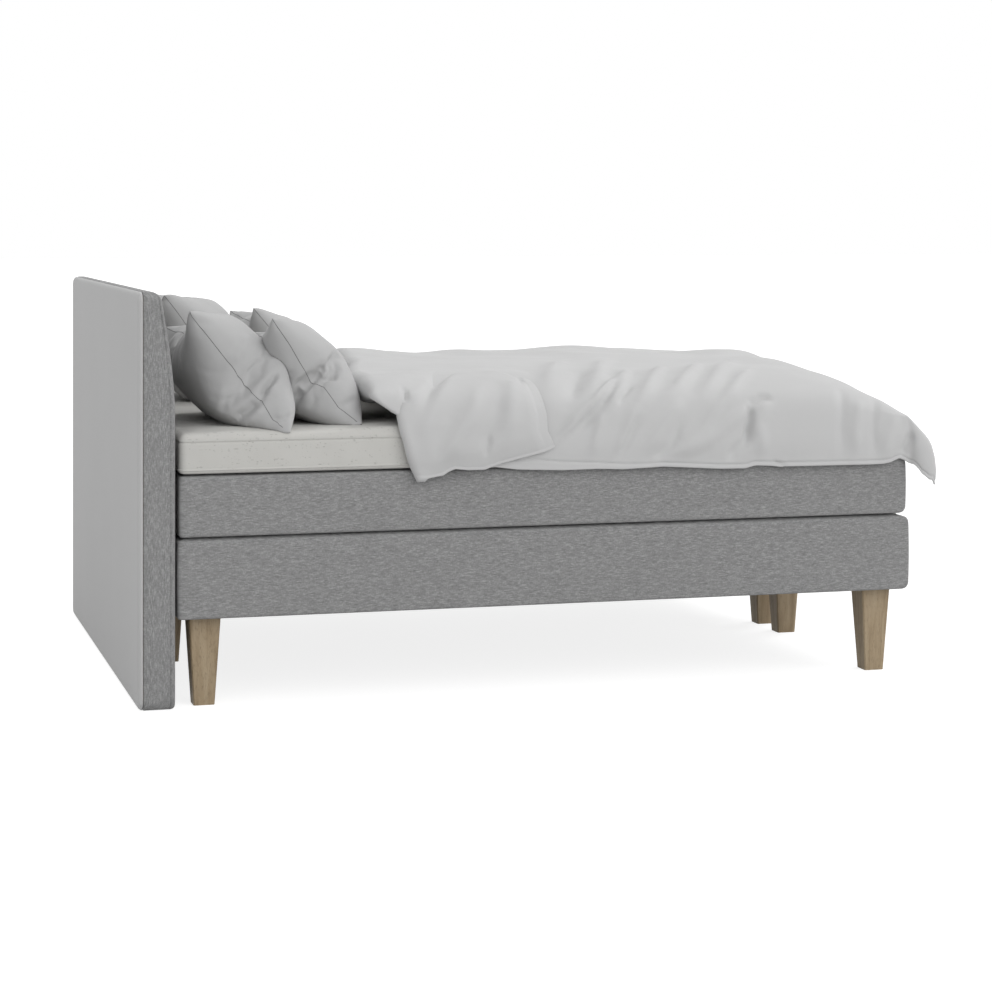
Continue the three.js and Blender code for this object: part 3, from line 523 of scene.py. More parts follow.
def topper_mesh():
    """The topper's cover, from the turned-in hem below over piping, side and seam to the top."""
    corner, bottom_edge, bottom_rim, wall = 0.020, 0.009, 0.003, 0.004
    piping_out, piping_half, piping_rise = 0.0022, 0.0026, 0.013
    seam_depth, seam_half = 0.0030, 0.0018
    low, high = topper_low, topper_high
    seam = topper_shoulder - edge_radius - 0.004
    piping = [(0.0004 - piping_out * math.sin(a), low.z + piping_rise - piping_half * math.cos(a))
              for a in np.linspace(0, math.pi, 5)]
    sides = [(0, low.z + 0.018 + share * (seam - low.z - 0.024)) for share in (0, 0.25, 0.5, 0.75, 1)]
    groove = [(0.0003, seam - seam_half), (seam_depth, seam), (0.0003, seam + seam_half)]
    profile = [(0.2, low.z + wall), (0.035, low.z + wall), (0.030, low.z), (0.014, low.z + bottom_rim)]
    profile += quarter_round(bottom_edge, low.z + bottom_rim, 4, True) + piping + sides + groove
    profile += quarter_round(edge_radius, topper_shoulder, 8, False)
    insets = (0.034, 0.045, 0.058, 0.070, 0.1, 0.15, 0.2, 0.3, 0.45, 0.6, 0.72, 0.785)
    profile += [(inset, topper_shoulder + crown * min(1, (inset - edge_radius) / crown_run))
                for inset in insets]
    rings = []
    for inset, z in profile:
        ring = rounded(high.x - low.x, high.y - low.y, corner, inset)
        ring = ring + ((low.x + high.x) / 2, (low.y + high.y) / 2)
        share = min(1, max(0, (z - seam) / 0.02))
        lift = np.array([topper_rise(x, y) for x, y in ring]) * share * share
        rings.append(np.column_stack([ring, z + lift]))
    return loft(rings)


topper = piece("topper_cover_cloth", *topper_mesh(), knit, ["topper_cover"], "topper_fabric")


# The headboard: a ladder frame with a foam pad, upright and then leaning back to its crest.
# Its front and sides are in the bases' cloth, and its back in a plain grey one, sewn together near the back.
class Board:
    """Sizes of the headboard's form, in metres."""
    low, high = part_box("headboard_back_cloth")
    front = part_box("headboard_cover")[1].x
    back = low.x
    height = high.z
    half = (high.y - low.y) / 2
    thickness = front - back
    crest_thickness = 0.064
    crest_drop = 0.046
    bend_drop = 0.218
    lean_drop = 0.318
    corner = 0.028
    back_edge = 0.016
    seam = 0.013
    side_start = 0.017


def curve_point(first, bend, last, share):
    """Points of a curve that leaves first and reaches last, both on the way to the bend."""
    return (1 - share) ** 2 * first + 2 * share * (1 - share) * bend + share ** 2 * last


def front_line():
    """The front's distance from the back, by height, as two arrays."""
    shares = np.linspace(0, 1, 40)[:, None]
    foot = np.array([(0.084, 0), (0.094, 0), (0.094, 0.010)])
    lean = np.array([(Board.thickness, Board.height - Board.lean_drop),
                     (Board.thickness, Board.height - Board.bend_drop),
                     (Board.crest_thickness, Board.height - Board.crest_drop)])
    crest = np.array([lean[2], (Board.crest_thickness, Board.height),
                      (Board.seam + Board.back_edge, Board.height)])
    line = np.vstack([curve_point(*curve, shares) for curve in (foot, lean, crest)])
    return line[:, 0], line[:, 1]


front_x, front_z = front_line()


def board_depth(z):
    """How thick the board is at a height, in metres."""
    return np.interp(z, front_z, front_x)


def headboard_rings(profile):
    """Rings round the board; each has an inset from its outline, a share of the way to its front,
    and how far from the back that way starts."""
    rings = []
    for inset, share, from_back in profile:
        ring = rounded(2 * Board.half, Board.height, Board.corner, inset, 0.02, 8)
        y, z = ring[:, 0], ring[:, 1] + Board.height / 2
        x = Board.back + from_back + share * (board_depth(z) - from_back)
        rings.append(np.column_stack([x, y, z]))
    return rings


back_edge = [(inset, 0, depth) for inset, depth in quarter_round(Board.back_edge, 0, 6, True)]
back_profile = [(inset, 0, 0) for inset in (0.5, 0.3, 0.12, 0.04)]
seam_start, seam_bottom, seam_end = (0.0012, 0, 0.0115), (0.0050, 0, 0.0128), 0.0112
back_profile += [p for p in back_edge if p[2] < seam_end] + [seam_start, seam_bottom]
back_fabric = Finish("back_fabric")
back_threads = back_fabric.grain(1200, 3)
back_cloud = back_fabric.grain(3)
back_tone = back_fabric.blend(back_threads * 0.5 + back_cloud * 0.5, grey(182), grey(191))
back_fabric.coat(back_tone, 0.88 + back_threads * 0.08, back_threads, 0.0002, Sheen_Weight=0.1)
piece("headboard_back", *loft(headboard_rings(back_profile)), back_fabric, ["headboard_back_cloth"],
      "back_fabric")

board_fabric = woven("board_fabric", True)
front_profile = [(0.0050, 0, 0.0131), (0.0010, 0, 0.0146)]
front_edge, front_edge_share = 0.007, 0.09
side_profile = [(0, share) for share in (0, 0.25, 0.5, 0.75, 0.82)] + [(0.0022, 0.84), (0, 0.86)]
side_profile += [(front_edge * (1 - math.cos(a)), 1 - front_edge_share * (1 - math.sin(a)))
                 for a in np.linspace(0, math.pi / 2, 6)]
side_profile += [(inset, 1) for inset in (0.02, 0.035, *np.arange(0.05, 0.34, 0.02), 0.4, 0.5)]
front_profile += [(inset, share, Board.side_start) for inset, share in side_profile]
piece("headboard_front", *loft(headboard_rings(front_profile)), board_fabric, ["headboard_cover"],
      "box_fabric")

# Four pillows, stuffed: two crowned faces meet in a seam that is drawn in between the corners.
# Each leans back on its lower edge, flattened where it meets the topper, the headboard or the
# pillow behind. Places, pulls and creases are in millimetres.


def cotton(name, crumple, cloud, low, high, depth):
    """Cotton between two greys; crumple and cloud give the lumps a metre and their detail."""
    cloth = Finish(name)
    weave = cloth.grain(2600)
    lumps = cloth.grain(*crumple)
    tone = cloth.blend(weave * 0.4 + cloth.grain(*cloud) * 0.6, grey(low), grey(high))
    cloth.coat(tone, 0.82 + weave * 0.1, lumps + weave * 0.02, depth, Sheen_Weight=0.2, Sheen_Roughness=0.35)
    return cloth


# Painted shade: the pillows' cotton is a darker copy of the duvet's, 172 to 182 against 191 to 199, standing
# for the shade the pillows lie in by the headboard.
pillow_cloth = cotton("pillow_cloth", (14, 3), (14, 3), 172, 182, 0.003)
origin = Vector((topper_low.x * 1000 - 5, 0, 0)) / 1000
mattress_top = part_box("left_mattress_cover")[1].z


class Pillow:
    """A pillow's place: its seam plane's middle, lean, turn and tip, and its swell on both sides."""
    height, width, under, side_in, end_in, roundness = 0.394, 0.600, 0.126, 0.026, 0.054, 0.37
    flat_half, filling, cells_across, cells_up = (0.34, 0.235), 0.0205, 54, 38

    def __init__(self, node, x, y, z, lean, turn, tip, upper):
        self.node = node
        self.middle = Vector((origin.x + x * self.height, y * 0.8, mattress_top + z * self.height))
        self.lean, self.turn, self.tip = map(math.radians, (lean, turn, tip))
        self.upper = upper

    def placed(self, points):
        """From across, up and out of the seam plane to the bed."""
        a, b, c = points.T
        x = -math.cos(self.lean) * b + math.sin(self.lean) * c
        y = a
        z = math.sin(self.lean) * b + math.cos(self.lean) * c
        y, z = swung(y, z, self.tip)
        x, y = swung(x, y, self.turn)
        return np.column_stack([x, y, z]) + np.array(self.middle)

    def case(self, seed):
        """Two panels sewn round their edge and filled, as points, faces and the seam's points."""
        across, up = self.cells_across, self.cells_up
        faces, keys, places = [], {}, []
        for face in (1, -1):
            for i in range(across + 1):
                for j in range(up + 1):
                    on_seam = i in (0, across) or j in (0, up)
                    key = (i, j, 0 if on_seam else face)
                    if key not in keys:
                        keys[key] = len(places)
                        places.append((2 * i / across - 1, 2 * j / up - 1, key[2]))
            for i in range(across):
                for j in range(up):
                    square = ((i, j), (i + 1, j), (i + 1, j + 1), (i, j + 1))
                    quad = [keys.get((a, b, face), keys.get((a, b, 0))) for a, b in square]
                    faces.append(quad if face > 0 else quad[::-1])
        border = [keys[i, 0, 0] for i in range(across + 1)]
        border += [keys[across, j, 0] for j in range(1, up + 1)]
        border += [keys[i, up, 0] for i in range(across - 1, -1, -1)]
        border += [keys[0, j, 0] for j in range(up - 1, 0, -1)]
        a, b, face = np.array(places).T
        loose, uneven_by = 0.012, 0.006
        lift = face * loose * np.sqrt((1 - a ** 4) * (1 - b ** 4))
        flat = np.column_stack([a * self.flat_half[0], b * self.flat_half[1], lift])
        uneven = [noise.noise(Vector((9 * x + 7.1 * seed, 9 * y, 3 * f))) for (x, y, _), f in zip(flat, face)]
        flat[:, 2] += uneven_by * np.array(uneven) * (face != 0)
        full = inflated(flat, faces, self.filling)
        corner = np.abs(full[[keys[i, j, 0] for i in (0, across) for j in (0, up)]]).mean(axis=0)
        full[:, 0] *= self.width / 2 / corner[0]
        full[:, 1] *= self.height / 2 / corner[1]
        over, below = self.upper / full[:, 2].max(), self.under / -full[:, 2].min()
        full[:, 2] *= np.where(full[:, 2] > 0, over, below)
        return full, faces, border


def swung(first, second, angle):
    """Two coordinates turned together by an angle."""
    cosine, sine = math.cos(angle), math.sin(angle)
    return first * cosine - second * sine, first * sine + second * cosine


def evaluated_mesh(made):
    """The mesh of an object after its modifiers."""
    return made.evaluated_get(bpy.context.evaluated_depsgraph_get()).to_mesh()


def inflated(points, faces, volume, frames=24):
    """A closed cloth blown up to a volume, with no gravity, as points in the same order."""
    case = mesh_object("case", points, faces)
    cloth = case.modifiers.new("fill", "CLOTH")
    cloth.point_cache.frame_start, cloth.point_cache.frame_end = 1, frames
    settings = cloth.settings
    settings.quality, settings.mass, settings.air_damping = 8, 0.3, 6
    settings.use_pressure, settings.uniform_pressure_force = True, 1
    settings.use_pressure_volume, settings.target_volume, settings.pressure_factor = True, volume, 12
    settings.tension_stiffness = settings.compression_stiffness = 40
    settings.shear_stiffness, settings.bending_stiffness = 14, 0.4
    settings.effector_weights.gravity = 0
    for step in range(1, frames + 1):
        bpy.context.scene.frame_set(step)
    result = np.array([v.co for v in evaluated_mesh(case).vertices])
    bpy.data.objects.remove(case)
    bpy.context.scene.frame_set(1)
    return result


def subdivided(points, faces, levels):
    """The same closed mesh with rounder, smaller faces."""
    coarse = mesh_object("coarse", points, faces)
    coarse.modifiers.new("finer", "SUBSURF").levels = levels
    fine = evaluated_mesh(coarse)
    result = np.array([v.co for v in fine.vertices]), [tuple(f.vertices) for f in fine.polygons]
    bpy.data.objects.remove(coarse)
    return result


def pulled(points, pins):
    """Moves points by pins in millimetres; each has a place, a move and the width of its pull."""
    moved = points.copy()
    for place, move, width in pins:
        apart = np.linalg.norm(points - np.array(place) / 1000, axis=1)
        moved += np.exp(-(apart / (width / 1000)) ** 2)[:, None] * (np.array(move) / 1000)
    return moved


def normals_of(points, faces):
    """A unit normal for each point of a mesh of quads."""
    quads = np.array(faces)
    normal = np.cross(points[quads[:, 2]] - points[quads[:, 0]], points[quads[:, 3]] - points[quads[:, 1]])
    total = np.zeros_like(points)
    for corner in range(4):
        np.add.at(total, quads[:, corner], normal)
    return total / np.maximum(np.linalg.norm(total, axis=1, keepdims=True), 1e-12)


def line_distance(points, line):
    """How far points are from a line in millimetres, and their share of the way along it."""
    line = np.array(line) / 1000
    steps = np.linalg.norm(np.diff(line, axis=0), axis=1)
    starts = np.concatenate([[0], np.cumsum(steps)])
    best, share = np.full(len(points), 1e9), np.zeros(len(points))
    for a, b, step, start in zip(line[:-1], line[1:], steps, starts):
        t = np.clip((points - a) @ (b - a) / step ** 2, 0, 1)
        apart = np.linalg.norm(points - a - t[:, None] * (b - a), axis=1)
        nearer = apart < best
        best[nearer] = apart[nearer]
        share[nearer] = (start + t[nearer] * step) / starts[-1]
    return best, share


def creased(points, faces, creases):
    """Sinks or raises lines that fade at their ends; each has a half-width, a height and points."""
    lift = np.zeros(len(points))
    for half_width, height, *line in creases:
        apart, share = line_distance(points, line)
        fade = np.clip(np.minimum(share, 1 - share) / 0.22, 0, 1)
        lift += height / 1000 * np.exp(-(apart / (half_width / 1000)) ** 2) * (0.25 + 0.75 * fade)
    return points + normals_of(points, faces) * lift[:, None]


def rest_on_bed(points):
    """Keeps points over the topper and in front of the headboard."""
    topper_gap, board_gap = 0.0006, 0.001
    levels = np.array([topper_level(p[0], p[1]) for p in points]) + topper_gap
    points[:, 2] = np.maximum(points[:, 2], levels)
    points[:, 0] = np.maximum(points[:, 0], Board.back + board_depth(points[:, 2]) + board_gap)
    return points


def clear_of(points, behind, gap=0.0008):
    """Moves points that are inside the piece behind out onto its skin."""
    tree = BVHTree.FromObject(behind, bpy.context.evaluated_depsgraph_get())
    for i, p in enumerate(points):
        near, normal, *_ = tree.find_nearest(Vector(p))
        if (Vector(p) - near).dot(normal) < gap:
            points[i] = near + normal * gap
    return points


def stitched(name, line, onto, radius, finish):
    """A sewn seam: a welt as thin as sewing yarn, laid along a closed line on the skin of a piece."""
    stitch, flatness, around = 0.005, 0.8, (0, 1.05, 2.09, 3.14, 4.19, 5.24)
    tree = BVHTree.FromObject(onto, bpy.context.evaluated_depsgraph_get())
    spots = []
    for a, b in zip(line, np.roll(line, -1, axis=0)):
        count = max(1, round(np.linalg.norm(b - a) / stitch))
        spots += [a + (b - a) * k / count for k in range(count)]
    rings = []
    for k, spot in enumerate(spots):
        near, normal, *_ = tree.find_nearest(Vector(spot))
        ahead = Vector(spots[(k + 1) % len(spots)] - spots[k - 1]).normalized()
        across = ahead.cross(normal).normalized()
        rings.append([near + across * radius * math.cos(a) + normal * radius * flatness * math.sin(a)
                      for a in around])
    points, faces = loft(rings + rings[:1], closed=False)
    return piece(name, points, faces, finish, slot="bedding")


# Painted shade: the pillows' seam welts are dark grey, 96 to 124, standing for the shade in the drawn-in
# seams; their fine ply is the yarn's own.
thread = Finish("thread")
ply = thread.grain(1800)
thread.coat(thread.blend(ply, grey(96), grey(124)), 0.8 + ply * 0.1, ply, 0.0002)

pillows = [
    Pillow("left_back_pillow", 0.454, -0.55, 0.654, 48.4, 0, 0, 0.116),
    Pillow("left_front_pillow", 0.961, -0.55, 0.635, 48.5, 0, 0, 0.097),
    Pillow("right_back_pillow", 0.555, 0.45, 0.688, 48.4, 0, 0, 0.116),
    Pillow("right_front_pillow", 1.24, 0.45, 0.573, 48.5, -2.5, -2.3, 0.097),
]
pulls = {
    "left_back_pillow": [
        ((-933, -733, 990), (-11, 0, 10), 80),
        ((-715, -660, 850), (12, -30, 6), 70),
        ((-685, -731, 709), (-19, -54, -12), 110),
        ((-690, -700, 770), (14, -10, 0), 50),
        ((-830, -600, 715), (0, -85, -10), 130),
        ((-937, -145, 990), (10, 0, -55), 260),
    ],
    "left_front_pillow": [
        ((-489, -736, 711), (-18, -4, -6), 90),
        ((-600, -660, 710), (0, -40, -5), 120),
        ((-737, -145, 985), (55, 0, -66), 260),
    ],
    "right_back_pillow": [
        ((-900, 60, 1010), (-10, 0, 17), 100),
        ((-775, 270, 990), (22, 0, 2), 150),
        ((-700, 250, 960), (10, 0, 14), 80),
        ((-800, 160, 750), (-50, 0, -35), 130),
    ],
    "right_front_pillow": [((-630, 60, 965), (-4, 0, 7), 80)],
}
creases = {
    "left_back_pillow": [
        (10, -17, (-770, -754, 780), (-755, -747, 806), (-734, -742, 827), (-718, -732, 850)),
        (12, 8, (-752, -754, 793), (-731, -747, 819), (-710, -734, 847)),
        (14, -15, (-774, -755, 774), (-807, -748, 747), (-831, -726, 724)),
        (12, 8, (-762, -765, 759), (-792, -755, 731), (-815, -727, 713)),
        (7, -6, (-743, -780, 728), (-719, -791, 730), (-696, -785, 739)),
        (15, 7, (-785, -669, 943), (-800, -701, 913), (-824, -713, 886), (-848, -713, 873)),
    ],
    "left_front_pillow": [
        (9, -10, (-618, -683, 817), (-594, -684, 845), (-569, -660, 874), (-555, -650, 886)),
        (10, 4, (-608, -693, 814), (-587, -687, 841), (-561, -661, 873), (-545, -645, 885)),
        (10, -4, (-605, -700, 806), (-582, -685, 817), (-553, -702, 821)),
        (13, -10, (-621, -684, 812), (-648, -690, 791), (-662, -675, 778), (-680, -650, 765)),
        (13, 5, (-597, -700, 790), (-622, -690, 770), (-646, -670, 750)),
        (10, -5, (-563, -738, 748), (-535, -732, 763), (-510, -709, 769)),
    ],
}
near_seams = {
    "left_back_pillow": [
        (-942, -730, 990), (-892, -717, 930), (-848, -713, 874), (-837, -714, 862), (-789, -740, 793),
        (-776, -752, 780), (-768, -756, 776), (-755, -770, 751), (-743, -780, 728), (-706, -791, 698)],
    "left_front_pillow": [
        (-735, -738, 981), (-685, -718, 912), (-636, -692, 834), (-624, -684, 814), (-595, -707, 803),
        (-585, -720, 787), (-563, -737, 753), (-534, -746, 729), (-509, -742, 707)],
}
behind = None
for i, pillow in enumerate(pillows):
    name = pillow.node
    points, faces, border = pillow.case(seed=i)
    points = pulled(pillow.placed(points), pulls[name])
    seam_line = points[border]
    points, faces = subdivided(points, faces, 2 if name in creases else 1)
    points = rest_on_bed(creased(points, faces, creases.get(name, [])))
    if "front" in name:
        points = clear_of(points, behind)
    made = piece(f"{name}_case", points, faces, pillow_cloth, [name], "bedding")
    if name in near_seams:
        seam_line = np.vstack([seam_line[:1 - Pillow.cells_up], np.array(near_seams[name]) / 1000])
    # Each welt lies on the case's real seam, and its dark grey is painted shade.
    stitched(f"{name}_seam", seam_line, made, 0.0008, thread)
    behind = made


# The duvet: a quilt in a cotton cover over the topper, hanging down both sides and the foot.
# Folds are lines on the cloth, in millimetres along the bed from its middle and up from the left hem.
class Duvet:
    """Sizes of the duvet's form, in metres."""
    head_left, head_right, rise, sag, mid_share = 0.560, 0.640, 0.121, 0.018, 0.5
    shoulder, foot_shoulder, edge, foot_edge, edge_share = 0.190, 0.210, 0.020, 0.060, 0.42
    belly_share, drop, stand_off, foot_stand_off, flare = 0.4, 0.132, 0.020, 0.036, 0.045
    hem, length, half, reach_left = 0.014, 2.000, 0.8005, 0.062
    flare_by_fall = [0, 0.35, 0.6, 0.9, 1.2, 1.5], [0, 0.44, 0.70, 0.96, 1.10, 1.08]


def between(t, start, end, first, last):
    """The way from first to last, while t goes from start to end."""
    return (end - t) / (end - start) * first + (t - start) / (end - start) * last


def strand(half, shoulder, edge, stand_off):
    """A curve from the middle of the bed out over its edge and down to the hem, by share of its length."""
    d = Duvet
    keys = np.array([
        (0, d.rise),
        (d.mid_share * half, d.rise - d.sag / 2),
        (half - shoulder, d.rise - d.sag),
        (half - edge, d.edge_share * d.rise),
        (half + stand_off, -d.belly_share * d.drop),
        (half + stand_off, -d.drop),
    ])
    ends = np.vstack([2 * keys[0] - keys[1], keys, 2 * keys[-1] - keys[-2]])
    line = []
    for k in range(1, len(ends) - 2):
        near = ends[k - 1:k + 3]
        gaps = [np.linalg.norm(b - a) ** 0.5 for a, b in zip(near, near[1:])]
        knots = np.concatenate([[0], np.cumsum(gaps)])
        t = np.linspace(knots[1], knots[2], 60)[:, None]
        for span in (1, 2):
            pairs = enumerate(zip(near, near[1:]))
            near = [between(t, knots[i], knots[i + span], a, b) for i, (a, b) in pairs]
        line.append(between(t, knots[1], knots[2], *near))
    line = np.vstack(line)
    reach = np.concatenate([[0], np.cumsum(np.linalg.norm(np.diff(line, axis=0), axis=1))])
    return reach, line


cross_reach, cross_line = strand(Duvet.half, Duvet.shoulder, Duvet.edge, Duvet.stand_off)
long_reach, long_line = strand(Duvet.length, Duvet.foot_shoulder, Duvet.foot_edge, Duvet.foot_stand_off)
across_bed = 2 * cross_reach[-1]


def draped(along, up):
    """Places on the cloth, as distances from the head end and up from the left hem, to points on the bed."""
    d = Duvet
    from_middle = np.abs(up - across_bed / 2)
    side = np.sign(up - across_bed / 2)
    out = np.interp(from_middle, cross_reach, cross_line[:, 0])
    past_hem = np.maximum(0, from_middle - cross_reach[-1])
    side_z = np.interp(from_middle, cross_reach, cross_line[:, 1]) - past_hem
    end_x = np.interp(along, long_reach, long_line[:, 0])
    end_z = np.interp(along, long_reach, long_line[:, 1])
    side_drop, end_drop = np.maximum(0, -side_z), np.maximum(0, -end_z)
    crown = np.maximum(0, side_z) * np.maximum(0, end_z) / d.rise ** 2
    fall = np.hypot(side_drop, end_drop)
    at_corner = (side_drop > 0) & (end_drop > 0)
    share_side, share_end = side_drop / np.maximum(fall, 1e-9), end_drop / np.maximum(fall, 1e-9)
    kick = 2 * d.flare * share_side * share_end * np.interp(fall / d.drop, *d.flare_by_fall)
    wrapped_x, wrapped_y = (
        wall(line, 0) + (wall(line, fall) - wall(line, 0) + kick) * share
        for line, share in ((long_line, share_end), (cross_line, share_side)))
    x = origin.x + np.where(at_corner, wrapped_x, end_x)
    y = side * np.where(at_corner, wrapped_y, out)
    points = np.stack([x, y, topper_high.z + d.hem + d.rise * crown - fall], -1)
    return pulled(points.reshape(-1, 3), settling).reshape(points.shape)


def wall(line, fall):
    """How far out a strand is where it has fallen so far under the topper's top."""
    hanging = line[line[:, 1] <= 0.001]
    return np.interp(fall, -hanging[:, 1], hanging[:, 0])


def smooth(value):
    """A soft step: 0 below zero, 1 above one, and an even rise between them."""
    value = np.clip(value, 0, 1)
    return value * value * (3 - 2 * value)


def raised(points, height):
    """A grid of points moved out along its normals."""
    normal = np.cross(np.gradient(points, axis=0), np.gradient(points, axis=1))
    normal /= np.maximum(np.linalg.norm(normal, axis=-1, keepdims=True), 1e-9)
    return points + normal * np.asarray(height)[..., None]


def folded(along, up, folds):
    """The height of folds over the plain cloth; each has a half-width, a height and a line."""
    places = np.column_stack([along.ravel(), up.ravel()])
    height = np.zeros(len(places))
    for half_width, rise, *line in folds:
        apart, share = line_distance(places, line)
        fade = smooth(np.minimum(share, 1 - share) / 0.3)
        height += rise / 1000 * np.exp(-(apart / (half_width / 1000)) ** 2) * (0.15 + 0.85 * fade)
    return height.reshape(along.shape)


def rumples(along, up, lean, pitch, length, height, seed):
    """Soft random folds that lie at a slope, a pitch apart and so long."""
    across = (math.cos(lean) * along - math.sin(lean) * up) / pitch
    down = (math.sin(lean) * along + math.cos(lean) * up) / length
    values = [noise.noise(Vector((a, b, seed))) for a, b in zip(across.ravel(), down.ravel())]
    return height * np.array(values).reshape(along.shape)


def quilt(outer, inner, steps=5):
    """A closed mesh from two grids of points, joined by a rounded edge all round."""
    rows, columns = outer.shape[:2]
    half = rows * columns
    points = [*outer.reshape(-1, 3), *inner.reshape(-1, 3)]
    faces = []
    for i in range(rows - 1):
        for j in range(columns - 1):
            a = i * columns + j
            faces.append((a, a + columns, a + columns + 1, a + 1))
            faces.append((half + a, half + a + 1, half + a + columns + 1, half + a + columns))
    border = [(0, j) for j in range(columns)] + [(i, columns - 1) for i in range(1, rows)]
    border += [(rows - 1, j) for j in range(columns - 2, -1, -1)] + [(i, 0) for i in range(rows - 2, 0, -1)]
    loops = [[i * columns + j for i, j in border]]
    loops += [[2 * half + k * len(border) + n for n in range(len(border))] for k in range(steps)]
    loops.append([half + i for i in loops[0]])
    for k in range(1, steps + 1):
        turn = math.pi * k / (steps + 1)
        for i, j in border:
            middle, half_way = (outer[i, j] + inner[i, j]) / 2, (outer[i, j] - inner[i, j]) / 2
            out = np.zeros(3)
            for edge, nearer in ((i == 0, (i + 1, j)), (i == rows - 1, (i - 1, j)),
                                 (j == 0, (i, j + 1)), (j == columns - 1, (i, j - 1))):
                if edge:
                    away = outer[i, j] - outer[nearer]
                    out += away / np.linalg.norm(away)
            radius = np.linalg.norm(half_way)
            out -= half_way * (out @ half_way) / radius ** 2
            out *= radius / max(np.linalg.norm(out), 1e-9)
            points.append(middle + half_way * math.cos(turn) + out * math.sin(turn))
    for first, second in zip(loops, loops[1:]):
        for n in range(len(border)):
            m = (n + 1) % len(border)
            faces.append((first[n], first[m], second[m], second[n]))
    return points, faces


# Where the duvet settles or stands up, the folds round its turned-back corner, and those of its left hang.
settling = [
    ((1050, -810, 720), (0, 4, -20), 100),
    ((900, 100, 815), (0, 0, 30), 160),
    ((970, 360, 800), (0, 0, 20), 130),
    ((780, -280, 820), (0, 0, 14), 130),
    ((900, -660, 780), (0, 0, -8), 100),
    ((550, 300, 840), (0, 0, -8), 100),
    ((20, 350, 840), (0, 0, -7), 100),
    ((300, 250, 840), (0, 0, 7), 120),
    ((-300, 350, 840), (0, 0, 18), 190),
]
corner_folds = [
    (18, -18, (-190, 500), (-237, 418), (-304, 250), (-345, 182), (-385, 120)),
    (6, -10, (-418, 150), (-405, 178), (-392, 205)),
    (6, -6, (-402, 225), (-397, 194), (-388, 170)),
]
folds = [
    (30, 11, (226, 869), (69, 424), (-9, 211)),
    (24, 12, (359, 848), (175, 345), (111, 206), (83, 168), (60, 140)),
    (11, 13, (235, 335), (148, 214), (111, 170), (71, 134), (9, 81), (-30, 55)),
    (16, 10, (307, 486), (195, 214), (156, 156), (138, 122), (120, 85)),
    (20, 12, (430, 520), (282, 236), (235, 164), (205, 120)),
    (20, 12, (550, 550), (451, 365), (363, 227), (310, 176), (270, 130)),
    (25, 14, (660, 600), (481, 269), (422, 186), (370, 140)),
    (18, 11, (640, 400), (522, 222), (484, 172), (450, 140)),
    (18, 11, (560, 165), (513, 128), (447, 85), (382, 48), (323, 12)),
    (17, 11, (500, 210), (468, 166), (413, 100), (354, 53), (281, 19)),
    (17, 10, (370, 190), (340, 150), (284, 83), (236, 28)),
    (14, 9, (240, 170), (215, 128), (175, 56), (160, 30)),
    (13, 8, (140, 150), (126, 124), (104, 56), (98, 30)),
    (18, 9, (610, 180), (602, 156), (568, 112), (576, 46), (580, 20)),
    (16, 9, (875, 190), (865, 148), (851, 85), (847, 15)),
    (18, 8, (985, 150), (970, 124), (947, 64), (934, 0)),
    (20, -12, (167, 458), (85, 269), (58, 203), (40, 170)),
    (12, -11, (175, 220), (154, 194), (118, 156), (81, 120), (50, 90)),
    (8, -10, (240, 250), (221, 224), (195, 192), (170, 160)),
    (12, -11, (625, 180), (610, 178), (586, 178), (556, 162), (545, 155)),
    (10, -17, (557, 165), (550, 140), (544, 110), (534, 79), (530, 60)),
    (15, -8, (840, 250), (822, 166), (810, 90), (808, 10)),
    (14, -8, (930, 230), (915, 160), (903, 88), (904, 10)),
    (13, -10, (560, 95), (537, 71), (500, 44), (475, 15)),
    (11, -8, (360, 120), (347, 100), (320, 54), (282, 27), (265, 10)),
    (10, -8, (250, 150), (230, 124), (196, 69), (180, 42), (170, 20)),
    (4, -5, (610, 12), (636, 4), (650, -2)),
    (9, -10, (985, 0), (1000, 45), (1012, 80), (1020, 100)),
]

# How far the left hem hangs over or under its plain line, and how far its stitching is from it,
# both by the distance along the bed.
hem_lift = np.array([
    (-160, 10), (-100, 2), (20, -3), (120, -2), (190, -5), (300, -1), (460, -11), (530, -12), (560, -5),
    (600, -7), (645, -10), (890, -11), (930, -10), (955, -6), (970, 1), (982, 5), (994, 1), (1006, -6),
    (1018, -13), (1033, -28), (1052, -30), (1075, -10), (1090, 0)]) / 1000
hem_seam = np.array([(-400, 25), (-50, 24), (100, 15), (250, 9), (1000, 8)]) / 1000

# Lines of the grid: closer together up the left hang, which has the finest folds.
near_levels = np.array([0, 3, 6, 8, 10, 13, 16, 19, 22, 25, 28, 32]) / 1000
half_across = across_bed / 2
up_near = np.concatenate([near_levels, np.arange(0.038, 0.40, 0.0065), np.arange(0.405, half_across, 0.012)])
up_far = across_bed - np.concatenate([np.arange(0, 0.3, 0.012), np.arange(0.31, half_across - 0.01, 0.02)])
up_line = np.concatenate([up_near, up_far[::-1]])
from_side = np.minimum(up_line, across_bed - up_line)
thickness = np.interp(from_side, [0, 0.02, 0.06, 0.17, 0.25, 0.37], [0.005, 0.007, 0.015, 0.02, 0.045, 0.075])
far = up_line > half_across
thickness[far] *= np.interp(up_line[far], [1, 1.3], [1, 1.3])

# The head edge runs askew. It reaches further at the left, but its lowest part is tucked in
# under the turned-back corner.
tucked_in = 0.045
to_right = smooth((up_line - 0.3) / (across_bed - 0.6))
head_line = Duvet.head_left + to_right * (Duvet.head_right - Duvet.head_left)
head_line -= Duvet.reach_left * (1 - smooth((up_line - 0.5) / 0.5))
head_line += (tucked_in + Duvet.reach_left) * (1 - smooth((up_line - 0.11) / 0.09))
head_line += thickness / 2
row_shares = np.linspace(0, 1, 250)[:, None]
along_grid = head_line + (long_reach[-1] - head_line) * row_shares
up_grid = np.broadcast_to(up_line, along_grid.shape)


